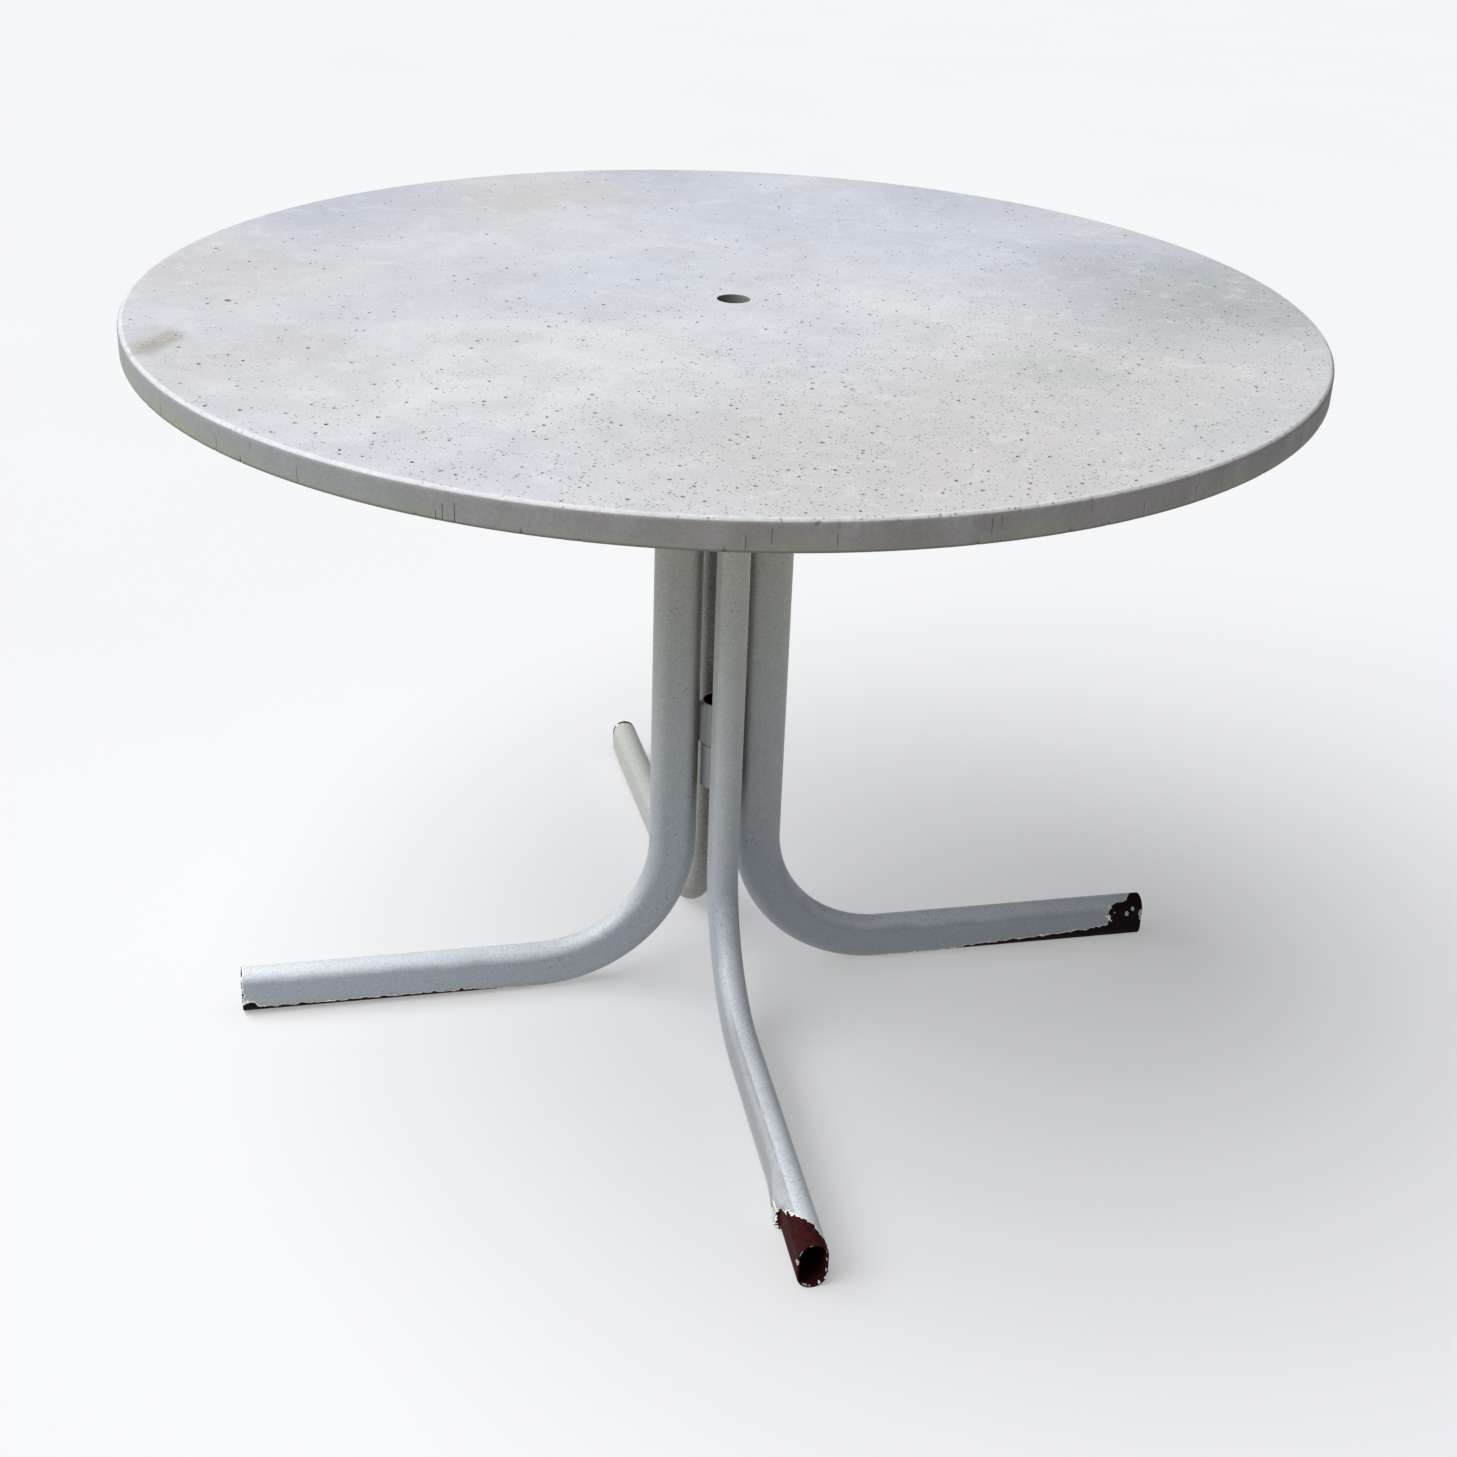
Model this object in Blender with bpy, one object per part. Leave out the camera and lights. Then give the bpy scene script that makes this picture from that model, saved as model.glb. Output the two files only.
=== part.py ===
"""Round garden table: a stone-look slab on a folding base of four bent flat-oval tubes.

The frame is in metres with +Z up. The origin is on the ground, under the parasol hole.
The fixed frame's legs run along X and the swing frame's legs run along Y.
Each leg's pieces are drawn for a leg that points along +X, and then turned about the table's axis.
"""

import math

import bmesh
import bpy
from mathutils import Matrix, Vector

# Tabletop
TOP_RADIUS = 0.550
TOP_HEIGHT = 0.750
TOP_THICKNESS = 0.026
TOP_CHAMFER = 0.003
TOP_UNDER_ARRIS = 0.0015
TOP_SIDES = 160
POLE_HOLE_RADIUS = 0.0151
POLE_HOLE_CHAMFER = 0.0010

# Legs: flat-oval tube, bent the hard way, so that its deep side stays upright in the foot
TUBE_DEEP = 0.049
TUBE_WIDE = 0.0285
TUBE_WALL = 0.0020
TUBE_ROUND_SIDES = 9
COLUMN_RADIUS = 0.0455
FOOT_REACH = 0.493
FOOT_BEND = 0.143
FOOT_BEND_STEPS = 12
ARM_REACH = 0.262
ARM_BEND = 0.095
ARM_BEND_STEPS = 9
BACK_FOOT_TWIST = math.radians(3.2)
TWIST_START_HEIGHT = 0.330

# Hinge knuckles on the table's axis, and the bush that each pair turns on
KNUCKLE_RADIUS = 0.0180
KNUCKLE_WALL = 0.0015
KNUCKLE_LENGTH = 0.0475
KNUCKLE_SPLIT = 0.0012
KNUCKLE_SIDES = 40
LOWER_PAIR_BASE = 0.2330
UPPER_PAIR_BASE = 0.5060
WELD_SPREAD = math.radians(24)
BUSH_CLEARANCE = 0.0004
BUSH_WALL = 0.0015
BUSH_RISE = 0.010
BUSH_RECESS = 0.013

# Brackets that close the upper tube ends and carry the tabletop's screws
PLATE = 0.0030
FLANGE_REACH = 0.318
FLANGE_WIDE = 0.030
FLANGE_CORNER = 0.006
SCREW_REACH = 0.292
FLANGE_HOLE_RADIUS = 0.0045

# Screws, washers and inserts (M8)
THREAD_RADIUS = 0.0037
SCREW_TIP_HEIGHT = 0.7352
WASHER_RADIUS = 0.0105
WASHER_THICKNESS = 0.0016
HEAD_ACROSS_FLATS = 0.0130
HEAD_THICKNESS = 0.0053
INSERT_RADIUS = 0.0056
INSERT_BORE = 0.0040
INSERT_LENGTH = 0.0120
POCKET_CLEARANCE = 0.0004
KNOB_RADIUS = 0.0165
KNOB_VALLEY = 0.0135
KNOB_LOBES = 6
KNOB_THICKNESS = 0.0170
KNOB_HUB_DEPTH = 0.0030
STUD_DEPTH_IN_KNOB = 0.0130

# Touching pieces are drawn with this gap
GAP = 0.0003

UNDERSIDE = TOP_HEIGHT - TOP_THICKNESS
ARM_TOP = UNDERSIDE - GAP
# The odd number of sides leaves a narrow flat along the tube's crown, which the foot stands on
CROWN_LOSS = TUBE_WIDE / 2 * (1 - math.cos(math.pi / 2 / TUBE_ROUND_SIDES))
ARM_CENTRE = ARM_TOP - TUBE_DEEP / 2 + CROWN_LOSS
FOOT_CENTRE = TUBE_DEEP / 2 - CROWN_LOSS
FLANGE_UNDERSIDE = ARM_TOP - PLATE

LEG_TURNS = {"right": 0.0, "back": math.pi / 2, "left": math.pi, "front": -math.pi / 2}
FIXED_SIDES = ("left", "right")
SWING_SIDES = ("front", "back")


def clear_scene():
    for obj in list(bpy.data.objects):
        bpy.data.objects.remove(obj, do_unlink=True)


def make_material(name, colour, roughness, metallic):
    material = bpy.data.materials.new(name)
    material.use_nodes = True
    shader = material.node_tree.nodes["Principled BSDF"]
    shader.inputs["Base Color"].default_value = (*colour, 1.0)
    shader.inputs["Roughness"].default_value = roughness
    shader.inputs["Metallic"].default_value = metallic
    return material


def add_object(name, mesh_builder, material, location=(0.0, 0.0, 0.0), parent=None):
    """Turns a bmesh into a named object, shaded smooth between its sharp edges."""
    bmesh.ops.recalc_face_normals(mesh_builder, faces=mesh_builder.faces)
    mesh = bpy.data.meshes.new(name)
    mesh_builder.to_mesh(mesh)
    mesh_builder.free()
    mesh.materials.append(material)
    mesh.shade_smooth()
    mesh.set_sharp_from_angle(angle=math.radians(35))
    obj = bpy.data.objects.new(name, mesh)
    obj.location = location
    obj.parent = parent
    bpy.context.scene.collection.objects.link(obj)
    return obj


def add_empty(name, location=(0.0, 0.0, 0.0), parent=None):
    empty = bpy.data.objects.new(name, None)
    empty.location = location
    empty.parent = parent
    bpy.context.scene.collection.objects.link(empty)
    return empty


def boolean(obj, other, operation):
    """Cuts or joins another object, which is left in the file as a hidden guide."""
    other.hide_render = True
    other.display_type = "WIRE"
    modifier = obj.modifiers.new(other.name, "BOOLEAN")
    modifier.operation = operation
    modifier.object = other
    modifier.solver = "EXACT"


def spin_profile(points, sides):
    """A turned solid: a closed outline of (radius, height) points carried round the Z axis."""
    builder = bmesh.new()
    rings = []
    for step in range(sides):
        turn = 2 * math.pi * step / sides
        rings.append([builder.verts.new((r * math.cos(turn), r * math.sin(turn), z)) for r, z in points])
    for step in range(sides):
        ring, following = rings[step], rings[(step + 1) % sides]
        for i in range(len(points)):
            j = (i + 1) % len(points)
            builder.faces.new((ring[i], following[i], following[j], ring[j]))
    return builder


def spin_solid_profile(points, sides):
    """A turned solid whose outline starts and ends on the Z axis."""
    builder = bmesh.new()
    bottom = builder.verts.new((0.0, 0.0, points[0][1]))
    top = builder.verts.new((0.0, 0.0, points[-1][1]))
    outline = points[1:-1]
    rings = []
    for step in range(sides):
        turn = 2 * math.pi * step / sides
        rings.append([builder.verts.new((r * math.cos(turn), r * math.sin(turn), z)) for r, z in outline])
    for step in range(sides):
        ring, following = rings[step], rings[(step + 1) % sides]
        builder.faces.new((bottom, following[0], ring[0]))
        for i in range(len(outline) - 1):
            builder.faces.new((ring[i], following[i], following[i + 1], ring[i + 1]))
        builder.faces.new((ring[-1], following[-1], top))
    return builder


def extrude_outline(points, low, high):
    """A prism from an outline in the XY plane."""
    builder = bmesh.new()
    face = builder.faces.new([builder.verts.new((x, y, low)) for x, y in points])
    extruded = bmesh.ops.extrude_face_region(builder, geom=[face])
    lifted = [item for item in extruded["geom"] if isinstance(item, bmesh.types.BMVert)]
    bmesh.ops.translate(builder, vec=(0.0, 0.0, high - low), verts=lifted)
    return builder


def turn_builder(builder, angle):
    bmesh.ops.rotate(builder, cent=(0.0, 0.0, 0.0), matrix=Matrix.Rotation(angle, 3, "Z"), verts=builder.verts)
    return builder


def arc_points(centre, radius, start, end, steps):
    return [
        (
            centre[0] + radius * math.cos(start + (end - start) * i / steps),
            centre[1] + radius * math.sin(start + (end - start) * i / steps),
        )
        for i in range(steps + 1)
    ]


def oval_outline(inset):
    """The tube's flat-oval section, as (along the deep side, across) points."""
    radius = TUBE_WIDE / 2 - inset
    flat = (TUBE_DEEP - TUBE_WIDE) / 2
    outer_half = arc_points((flat, 0.0), radius, -math.pi / 2, math.pi / 2, TUBE_ROUND_SIDES)
    inner_half = arc_points((-flat, 0.0), radius, math.pi / 2, 3 * math.pi / 2, TUBE_ROUND_SIDES)
    return outer_half + inner_half


def leg_stations(twist):
    """Centre, deep direction and cross direction of each section, from the foot's end to the arm's end."""
    along = Vector((math.cos(twist), math.sin(twist), 0.0))
    across = Vector((-math.sin(twist), math.cos(twist), 0.0))
    column = Vector((COLUMN_RADIUS, 0.0, 0.0))
    up = Vector((0.0, 0.0, 1.0))
    stations = [(column + along * (FOOT_REACH - COLUMN_RADIUS) + up * FOOT_CENTRE, up, across)]
    for step in range(FOOT_BEND_STEPS + 1):
        turn = math.pi / 2 * (1 - step / FOOT_BEND_STEPS)
        centre = along * (FOOT_BEND * (1 - math.cos(turn))) + up * (FOOT_BEND * (1 - math.sin(turn)))
        deep = along * math.cos(turn) + up * math.sin(turn)
        stations.append((column + centre + up * FOOT_CENTRE, deep, across))
    along = Vector((1.0, 0.0, 0.0))
    across = Vector((0.0, 1.0, 0.0))
    stations.append((column + up * TWIST_START_HEIGHT, along, across))
    for step in range(ARM_BEND_STEPS + 1):
        turn = math.pi / 2 * step / ARM_BEND_STEPS
        centre = along * (ARM_BEND * (1 - math.cos(turn))) - up * (ARM_BEND * (1 - math.sin(turn)))
        deep = along * math.cos(turn) - up * math.sin(turn)
        stations.append((column + centre + up * ARM_CENTRE, deep, across))
    stations.append((along * ARM_REACH + up * ARM_CENTRE, -up, across))
    return stations


def make_leg(side, material, parent):
    """One tube from the open foot on the ground to the arm under the slab."""
    twist = BACK_FOOT_TWIST if side == "back" else 0.0
    stations = leg_stations(twist)
    builder = bmesh.new()
    skins = []
    for inset in (0.0, TUBE_WALL):
        outline = oval_outline(inset)
        rings = []
        for centre, deep, across in stations:
            rings.append([builder.verts.new(centre + deep * a + across * b) for a, b in outline])
        skins.append(rings)
    count = len(skins[0][0])
    for rings in skins:
        for ring, following in zip(rings, rings[1:]):
            for i in range(count):
                j = (i + 1) % count
                builder.faces.new((ring[i], ring[j], following[j], following[i]))
    for end in (0, -1):
        outer, inner = skins[0][end], skins[1][end]
        for i in range(count):
            j = (i + 1) % count
            builder.faces.new((outer[i], outer[j], inner[j], inner[i]))
    turn_builder(builder, LEG_TURNS[side])
    return add_object(f"leg_{side}", builder, material, parent=parent)


def make_tabletop(material):
    """The slab, with the pole hole through its middle and a blind pocket above each screw."""
    outline = [
        (POLE_HOLE_RADIUS, UNDERSIDE),
        (TOP_RADIUS - TOP_UNDER_ARRIS, UNDERSIDE),
        (TOP_RADIUS, UNDERSIDE + TOP_UNDER_ARRIS),
        (TOP_RADIUS, TOP_HEIGHT - TOP_CHAMFER),
        (TOP_RADIUS - TOP_CHAMFER, TOP_HEIGHT),
        (POLE_HOLE_RADIUS + POLE_HOLE_CHAMFER, TOP_HEIGHT),
        (POLE_HOLE_RADIUS, TOP_HEIGHT - POLE_HOLE_CHAMFER),
    ]
    top = add_object("tabletop", spin_profile(outline, TOP_SIDES), material)
    radius = INSERT_RADIUS + POCKET_CLEARANCE
    ceiling = UNDERSIDE + INSERT_LENGTH + 2 * GAP + POCKET_CLEARANCE
    for side in LEG_TURNS:
        pocket = [(0.0, UNDERSIDE - 0.004), (radius, UNDERSIDE - 0.004), (radius, ceiling), (0.0, ceiling)]
        builder = spin_solid_profile(pocket, 20)
        cutter = add_object(f"pocket_cutter_{side}", builder, material, location=screw_place(side))
        boolean(top, cutter, "DIFFERENCE")
    return top


def screw_place(side):
    turn = LEG_TURNS[side]
    return (SCREW_REACH * math.cos(turn), SCREW_REACH * math.sin(turn), 0.0)


def weld_fillet(side, low, high):
    """Weld metal between a knuckle and the inner flank of one column tube."""
    flank_centre = (COLUMN_RADIUS - (TUBE_DEEP - TUBE_WIDE) / 2, 0.0)
    flank_radius = TUBE_WIDE / 2 + GAP
    hollow = arc_points(flank_centre, flank_radius, math.pi + WELD_SPREAD, math.pi - WELD_SPREAD, 6)
    root = arc_points((0.0, 0.0), KNUCKLE_RADIUS - KNUCKLE_WALL / 2, WELD_SPREAD, -WELD_SPREAD, 4)
    builder = extrude_outline(hollow + root, low, high)
    return turn_builder(builder, LEG_TURNS[side])


def make_knuckle(name, base, sides, material, parent):
    """A short length of round tube, with its weld fillets towards the two legs that it joins."""
    outer, inner = KNUCKLE_RADIUS, KNUCKLE_RADIUS - KNUCKLE_WALL
    ends = (base, base + KNUCKLE_LENGTH)
    outline = [(inner, ends[0]), (outer, ends[0]), (outer, ends[1]), (inner, ends[1])]
    knuckle = add_object(name, spin_profile(outline, KNUCKLE_SIDES), material, parent=parent)
    for side in sides:
        builder = weld_fillet(side, base + 0.001, base + KNUCKLE_LENGTH - 0.001)
        weld = add_object(f"{name}_weld_{side}", builder, material, parent=parent)
        boolean(knuckle, weld, "UNION")
    return knuckle


def make_bush(name, base, material, parent):
    """The short liner that is pressed in the lower knuckle and stands up into the upper one."""
    outer = KNUCKLE_RADIUS - KNUCKLE_WALL - BUSH_CLEARANCE
    inner = outer - BUSH_WALL
    low = base + BUSH_RISE
    high = base + 2 * KNUCKLE_LENGTH + KNUCKLE_SPLIT - BUSH_RECESS
    outline = [(inner, low), (outer, low), (outer, high), (inner, high)]
    return add_object(name, spin_profile(outline, KNUCKLE_SIDES), material, parent=parent)


def make_bracket(side, material, parent):
    """A bent strip: its upright part closes the arm's end, and its flange lies under the slab."""
    face = ARM_REACH + GAP
    half = FLANGE_WIDE / 2
    bend = [
        (face, ARM_TOP),
        (face, ARM_CENTRE - TUBE_DEEP / 2),
        (face + PLATE, ARM_CENTRE - TUBE_DEEP / 2),
        (face + PLATE, FLANGE_UNDERSIDE),
        (FLANGE_REACH, FLANGE_UNDERSIDE),
        (FLANGE_REACH, ARM_TOP),
    ]
    builder = bmesh.new()
    strip = builder.faces.new([builder.verts.new((x, -half, z)) for x, z in bend])
    extruded = bmesh.ops.extrude_face_region(builder, geom=[strip])
    moved = [item for item in extruded["geom"] if isinstance(item, bmesh.types.BMVert)]
    bmesh.ops.translate(builder, vec=(0.0, FLANGE_WIDE, 0.0), verts=moved)
    corners = [
        edge
        for edge in builder.edges
        if abs(edge.verts[0].co.z - edge.verts[1].co.z) > PLATE / 2
        and all(vert.co.x > FLANGE_REACH - GAP for vert in edge.verts)
    ]
    bmesh.ops.bevel(builder, geom=corners, offset=FLANGE_CORNER, segments=4, profile=0.5, affect="EDGES")
    feet = [
        edge
        for edge in builder.edges
        if abs(edge.verts[0].co.x - edge.verts[1].co.x) > PLATE / 2
        and all(vert.co.z < ARM_CENTRE for vert in edge.verts)
        and abs(edge.verts[0].co.y - edge.verts[1].co.y) < GAP
    ]
    bmesh.ops.bevel(builder, geom=feet, offset=half * 0.8, segments=5, profile=0.5, affect="EDGES")
    bracket = add_object(f"bracket_{side}", turn_builder(builder, LEG_TURNS[side]), material, parent=parent)
    boolean(bracket, bracket_cutter(side, material, parent), "DIFFERENCE")
    return bracket


def bracket_cutter(side, material, parent):
    """A round hole on the fixed frame. On the swing frame it is a slot, open on the side it swings away from."""
    radius = FLANGE_HOLE_RADIUS
    centre = (SCREW_REACH, 0.0)
    outline = arc_points(centre, radius, 0.0, math.pi, 10)
    if side in SWING_SIDES:
        mouth = -FLANGE_WIDE / 2 - 0.004
        outline += [(SCREW_REACH - radius, mouth), (SCREW_REACH + radius, mouth)]
    else:
        outline += arc_points(centre, radius, math.pi, 2 * math.pi, 10)[1:-1]
    builder = extrude_outline(outline, FLANGE_UNDERSIDE - 0.002, ARM_TOP + 0.002)
    return add_object(f"slot_cutter_{side}", turn_builder(builder, LEG_TURNS[side]), material, parent=parent)


def make_insert(side, material):
    """The threaded bush in the slab, with a groove that keys it in."""
    low = UNDERSIDE + GAP
    high = low + INSERT_LENGTH
    groove = INSERT_RADIUS - 0.0006
    outline = [
        (INSERT_BORE, low),
        (INSERT_RADIUS, low),
        (INSERT_RADIUS, low + INSERT_LENGTH * 0.35),
        (groove, low + INSERT_LENGTH * 0.42),
        (groove, low + INSERT_LENGTH * 0.58),
        (INSERT_RADIUS, low + INSERT_LENGTH * 0.65),
        (INSERT_RADIUS, high),
        (INSERT_BORE, high),
    ]
    return add_object(f"insert_{side}", spin_profile(outline, 18), material, location=screw_place(side))


def washer_underside():
    return FLANGE_UNDERSIDE - GAP - WASHER_THICKNESS


def make_washer(side, material, parent, location):
    low = washer_underside()
    high = low + WASHER_THICKNESS
    bore = THREAD_RADIUS + GAP * 2
    outline = [(bore, low), (WASHER_RADIUS, low), (WASHER_RADIUS, high), (bore, high)]
    return add_object(f"washer_{side}", spin_profile(outline, 24), material, location=location, parent=parent)


def make_bolt(side, material):
    """A hexagon-head bolt, put in from below."""
    top = washer_underside() - GAP
    low = top - HEAD_THICKNESS
    corner = HEAD_ACROSS_FLATS / math.sqrt(3)
    chamfer = 0.0008
    shank = [
        (0.0, top - 0.001),
        (THREAD_RADIUS, top - 0.001),
        (THREAD_RADIUS, SCREW_TIP_HEIGHT - chamfer),
        (THREAD_RADIUS - chamfer, SCREW_TIP_HEIGHT),
        (0.0, SCREW_TIP_HEIGHT),
    ]
    outline = [(corner * math.cos(math.pi / 3 * i), corner * math.sin(math.pi / 3 * i)) for i in range(6)]
    bolt = add_object(f"bolt_{side}", extrude_outline(outline, low, top), material, location=screw_place(side))
    builder = spin_solid_profile(shank, 20)
    guide = add_object(f"bolt_{side}_shank", builder, material, location=screw_place(side))
    boolean(bolt, guide, "UNION")
    return bolt


def make_knob(side, material, parent):
    """The moulded hand knob, lobed for grip, with a blind hole for its stud."""
    top = washer_underside() - GAP
    low = top - KNOB_THICKNESS
    sides = KNOB_LOBES * 6
    middle = (KNOB_RADIUS + KNOB_VALLEY) / 2
    swing = (KNOB_RADIUS - KNOB_VALLEY) / 2
    builder = bmesh.new()
    levels = [(0.86, low), (1.0, low + 0.0025), (1.0, top - 0.0060), (0.84, top - KNOB_HUB_DEPTH)]
    rings = []
    for scale, height in levels:
        ring = []
        for step in range(sides):
            turn = 2 * math.pi * step / sides
            radius = scale * (middle + swing * math.cos(KNOB_LOBES * turn))
            ring.append(builder.verts.new((radius * math.cos(turn), radius * math.sin(turn), height)))
        rings.append(ring)
    hub_radius = 0.0085
    bore = THREAD_RADIUS + GAP
    floor = top - STUD_DEPTH_IN_KNOB - GAP
    for radius, height in ((hub_radius, top - KNOB_HUB_DEPTH), (hub_radius, top), (bore, top), (bore, floor)):
        turns = [2 * math.pi * step / sides for step in range(sides)]
        rings.append([builder.verts.new((radius * math.cos(t), radius * math.sin(t), height)) for t in turns])
    for ring, following in zip(rings, rings[1:]):
        for i in range(sides):
            j = (i + 1) % sides
            builder.faces.new((ring[i], ring[j], following[j], following[i]))
    builder.faces.new(rings[0])
    builder.faces.new(rings[-1])
    return add_object(f"knob_{side}", builder, material, parent=parent)


def make_stud(side, material, parent):
    low = washer_underside() - GAP - STUD_DEPTH_IN_KNOB
    chamfer = 0.0008
    outline = [
        (0.0, low),
        (THREAD_RADIUS - chamfer, low),
        (THREAD_RADIUS, low + chamfer),
        (THREAD_RADIUS, SCREW_TIP_HEIGHT - chamfer),
        (THREAD_RADIUS - chamfer, SCREW_TIP_HEIGHT),
        (0.0, SCREW_TIP_HEIGHT),
    ]
    return add_object(f"stud_{side}", spin_solid_profile(outline, 20), material, parent=parent)


def build():
    clear_scene()
    slab = make_material("slab", (0.60, 0.61, 0.63), 0.75, 0.0)
    paint = make_material("paint", (0.55, 0.57, 0.56), 0.42, 0.0)
    steel = make_material("plated_steel", (0.52, 0.51, 0.49), 0.45, 0.9)
    brass = make_material("insert_brass", (0.62, 0.47, 0.24), 0.40, 0.9)
    plastic = make_material("knob_plastic", (0.05, 0.05, 0.055), 0.60, 0.0)
    nylon = make_material("bush_nylon", (0.10, 0.10, 0.10), 0.55, 0.0)

    make_tabletop(slab)
    swing_frame = add_empty("swing_frame")
    frames = {"fixed": (FIXED_SIDES, None), "swing": (SWING_SIDES, swing_frame)}
    upper_knuckle_rise = KNUCKLE_LENGTH + KNUCKLE_SPLIT
    for frame, (sides, parent) in frames.items():
        rise = upper_knuckle_rise if frame == "fixed" else 0.0
        make_knuckle(f"{frame}_knuckle_lower", LOWER_PAIR_BASE + rise, sides, paint, parent)
        make_knuckle(f"{frame}_knuckle_upper", UPPER_PAIR_BASE + rise, sides, paint, parent)
        for side in sides:
            make_leg(side, paint, parent)
            make_bracket(side, paint, parent)
    make_bush("hinge_bush_lower", LOWER_PAIR_BASE, nylon, swing_frame)
    make_bush("hinge_bush_upper", UPPER_PAIR_BASE, nylon, swing_frame)

    for side in LEG_TURNS:
        make_insert(side, brass)
    for side in FIXED_SIDES:
        make_bolt(side, steel)
        make_washer(side, steel, None, screw_place(side))
    for side in SWING_SIDES:
        thumb_screw = add_empty(f"thumb_screw_{side}", location=screw_place(side))
        make_stud(side, steel, thumb_screw)
        make_knob(side, plastic, thumb_screw)
        make_washer(side, steel, thumb_screw, (0.0, 0.0, 0.0))


build()
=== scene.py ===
# %% [markdown]
# # A weathered round garden table
# The real table is a cast stone-look slab, 1.1 m across, on a folding base.
# The base is four bent flat-oval tubes: two are welded to one pair of hinge knuckles and two to the other.
# The base could be pushed and pulled out of primitives, but every dimension would then be a guess.
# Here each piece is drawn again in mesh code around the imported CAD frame, finer than the CAD needs,
# and it gets a finish made of nodes, so that the wear sits at its real size on the real shape.

# %% Load the frame and read the sizes that everything else hangs on
import math
import random

import bmesh
import bpy
from mathutils import Matrix, Vector, geometry, noise


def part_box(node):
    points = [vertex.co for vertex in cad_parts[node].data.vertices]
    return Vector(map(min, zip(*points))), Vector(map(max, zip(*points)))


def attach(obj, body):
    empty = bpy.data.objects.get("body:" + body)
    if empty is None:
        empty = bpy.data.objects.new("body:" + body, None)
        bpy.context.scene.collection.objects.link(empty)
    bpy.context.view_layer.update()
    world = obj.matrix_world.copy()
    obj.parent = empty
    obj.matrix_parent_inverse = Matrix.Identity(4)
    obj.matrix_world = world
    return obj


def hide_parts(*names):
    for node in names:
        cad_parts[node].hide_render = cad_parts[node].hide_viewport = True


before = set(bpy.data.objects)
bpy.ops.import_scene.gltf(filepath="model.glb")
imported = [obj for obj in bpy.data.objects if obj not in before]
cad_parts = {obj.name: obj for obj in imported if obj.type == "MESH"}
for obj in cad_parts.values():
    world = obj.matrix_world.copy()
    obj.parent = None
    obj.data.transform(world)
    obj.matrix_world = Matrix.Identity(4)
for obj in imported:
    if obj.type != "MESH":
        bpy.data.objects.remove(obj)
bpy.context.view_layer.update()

MM = 0.001
slab_low, slab_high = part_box("tabletop")
SLAB_RADIUS = (slab_high.x - slab_low.x) / 2
SLAB_TOP, SLAB_UNDERSIDE = slab_high.z, slab_low.z
FOOT_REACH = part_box("leg_right")[1].x
print(f"slab radius {SLAB_RADIUS:.3f} m, top at {SLAB_TOP:.3f} m, feet reach {FOOT_REACH:.3f} m")

# %% [markdown]
# ## A small language for finishes
# A finish is a graph of nodes. Wired up line by line, the sums disappear among sockets and links.
# One class wraps an output socket, so that `1 - mask` or `cloud * 0.4 + grain` builds its Math nodes.
# Colours and vectors go through Mix and Vector Math, because a Math node turns a colour grey.

# %% Wrap a socket so that Python sums build Math nodes
class Wire:
    """An output socket that takes part in sums."""

    def __init__(self, finish, socket):
        self.finish, self.socket = finish, socket

    def maths(self, operation, *values, clamp=False):
        settings = {"operation": operation, "use_clamp": clamp}
        return self.finish.node("ShaderNodeMath", settings, dict(enumerate(values)))

    def __add__(self, other):
        return self.maths("ADD", self, other)

    def __radd__(self, other):
        return self.maths("ADD", other, self)

    def __sub__(self, other):
        return self.maths("SUBTRACT", self, other)

    def __rsub__(self, other):
        return self.maths("SUBTRACT", other, self)

    def __mul__(self, other):
        return self.maths("MULTIPLY", self, other)

    def clip(self):
        """The same value, held between 0 and 1."""
        return self.maths("MULTIPLY", self, 1.0, clamp=True)

    def above(self, edge, softness):
        """0 below the edge and 1 above it, with a soft step of the given width."""
        return ((self - (edge - softness / 2)) * (1 / softness)).clip()


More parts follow.
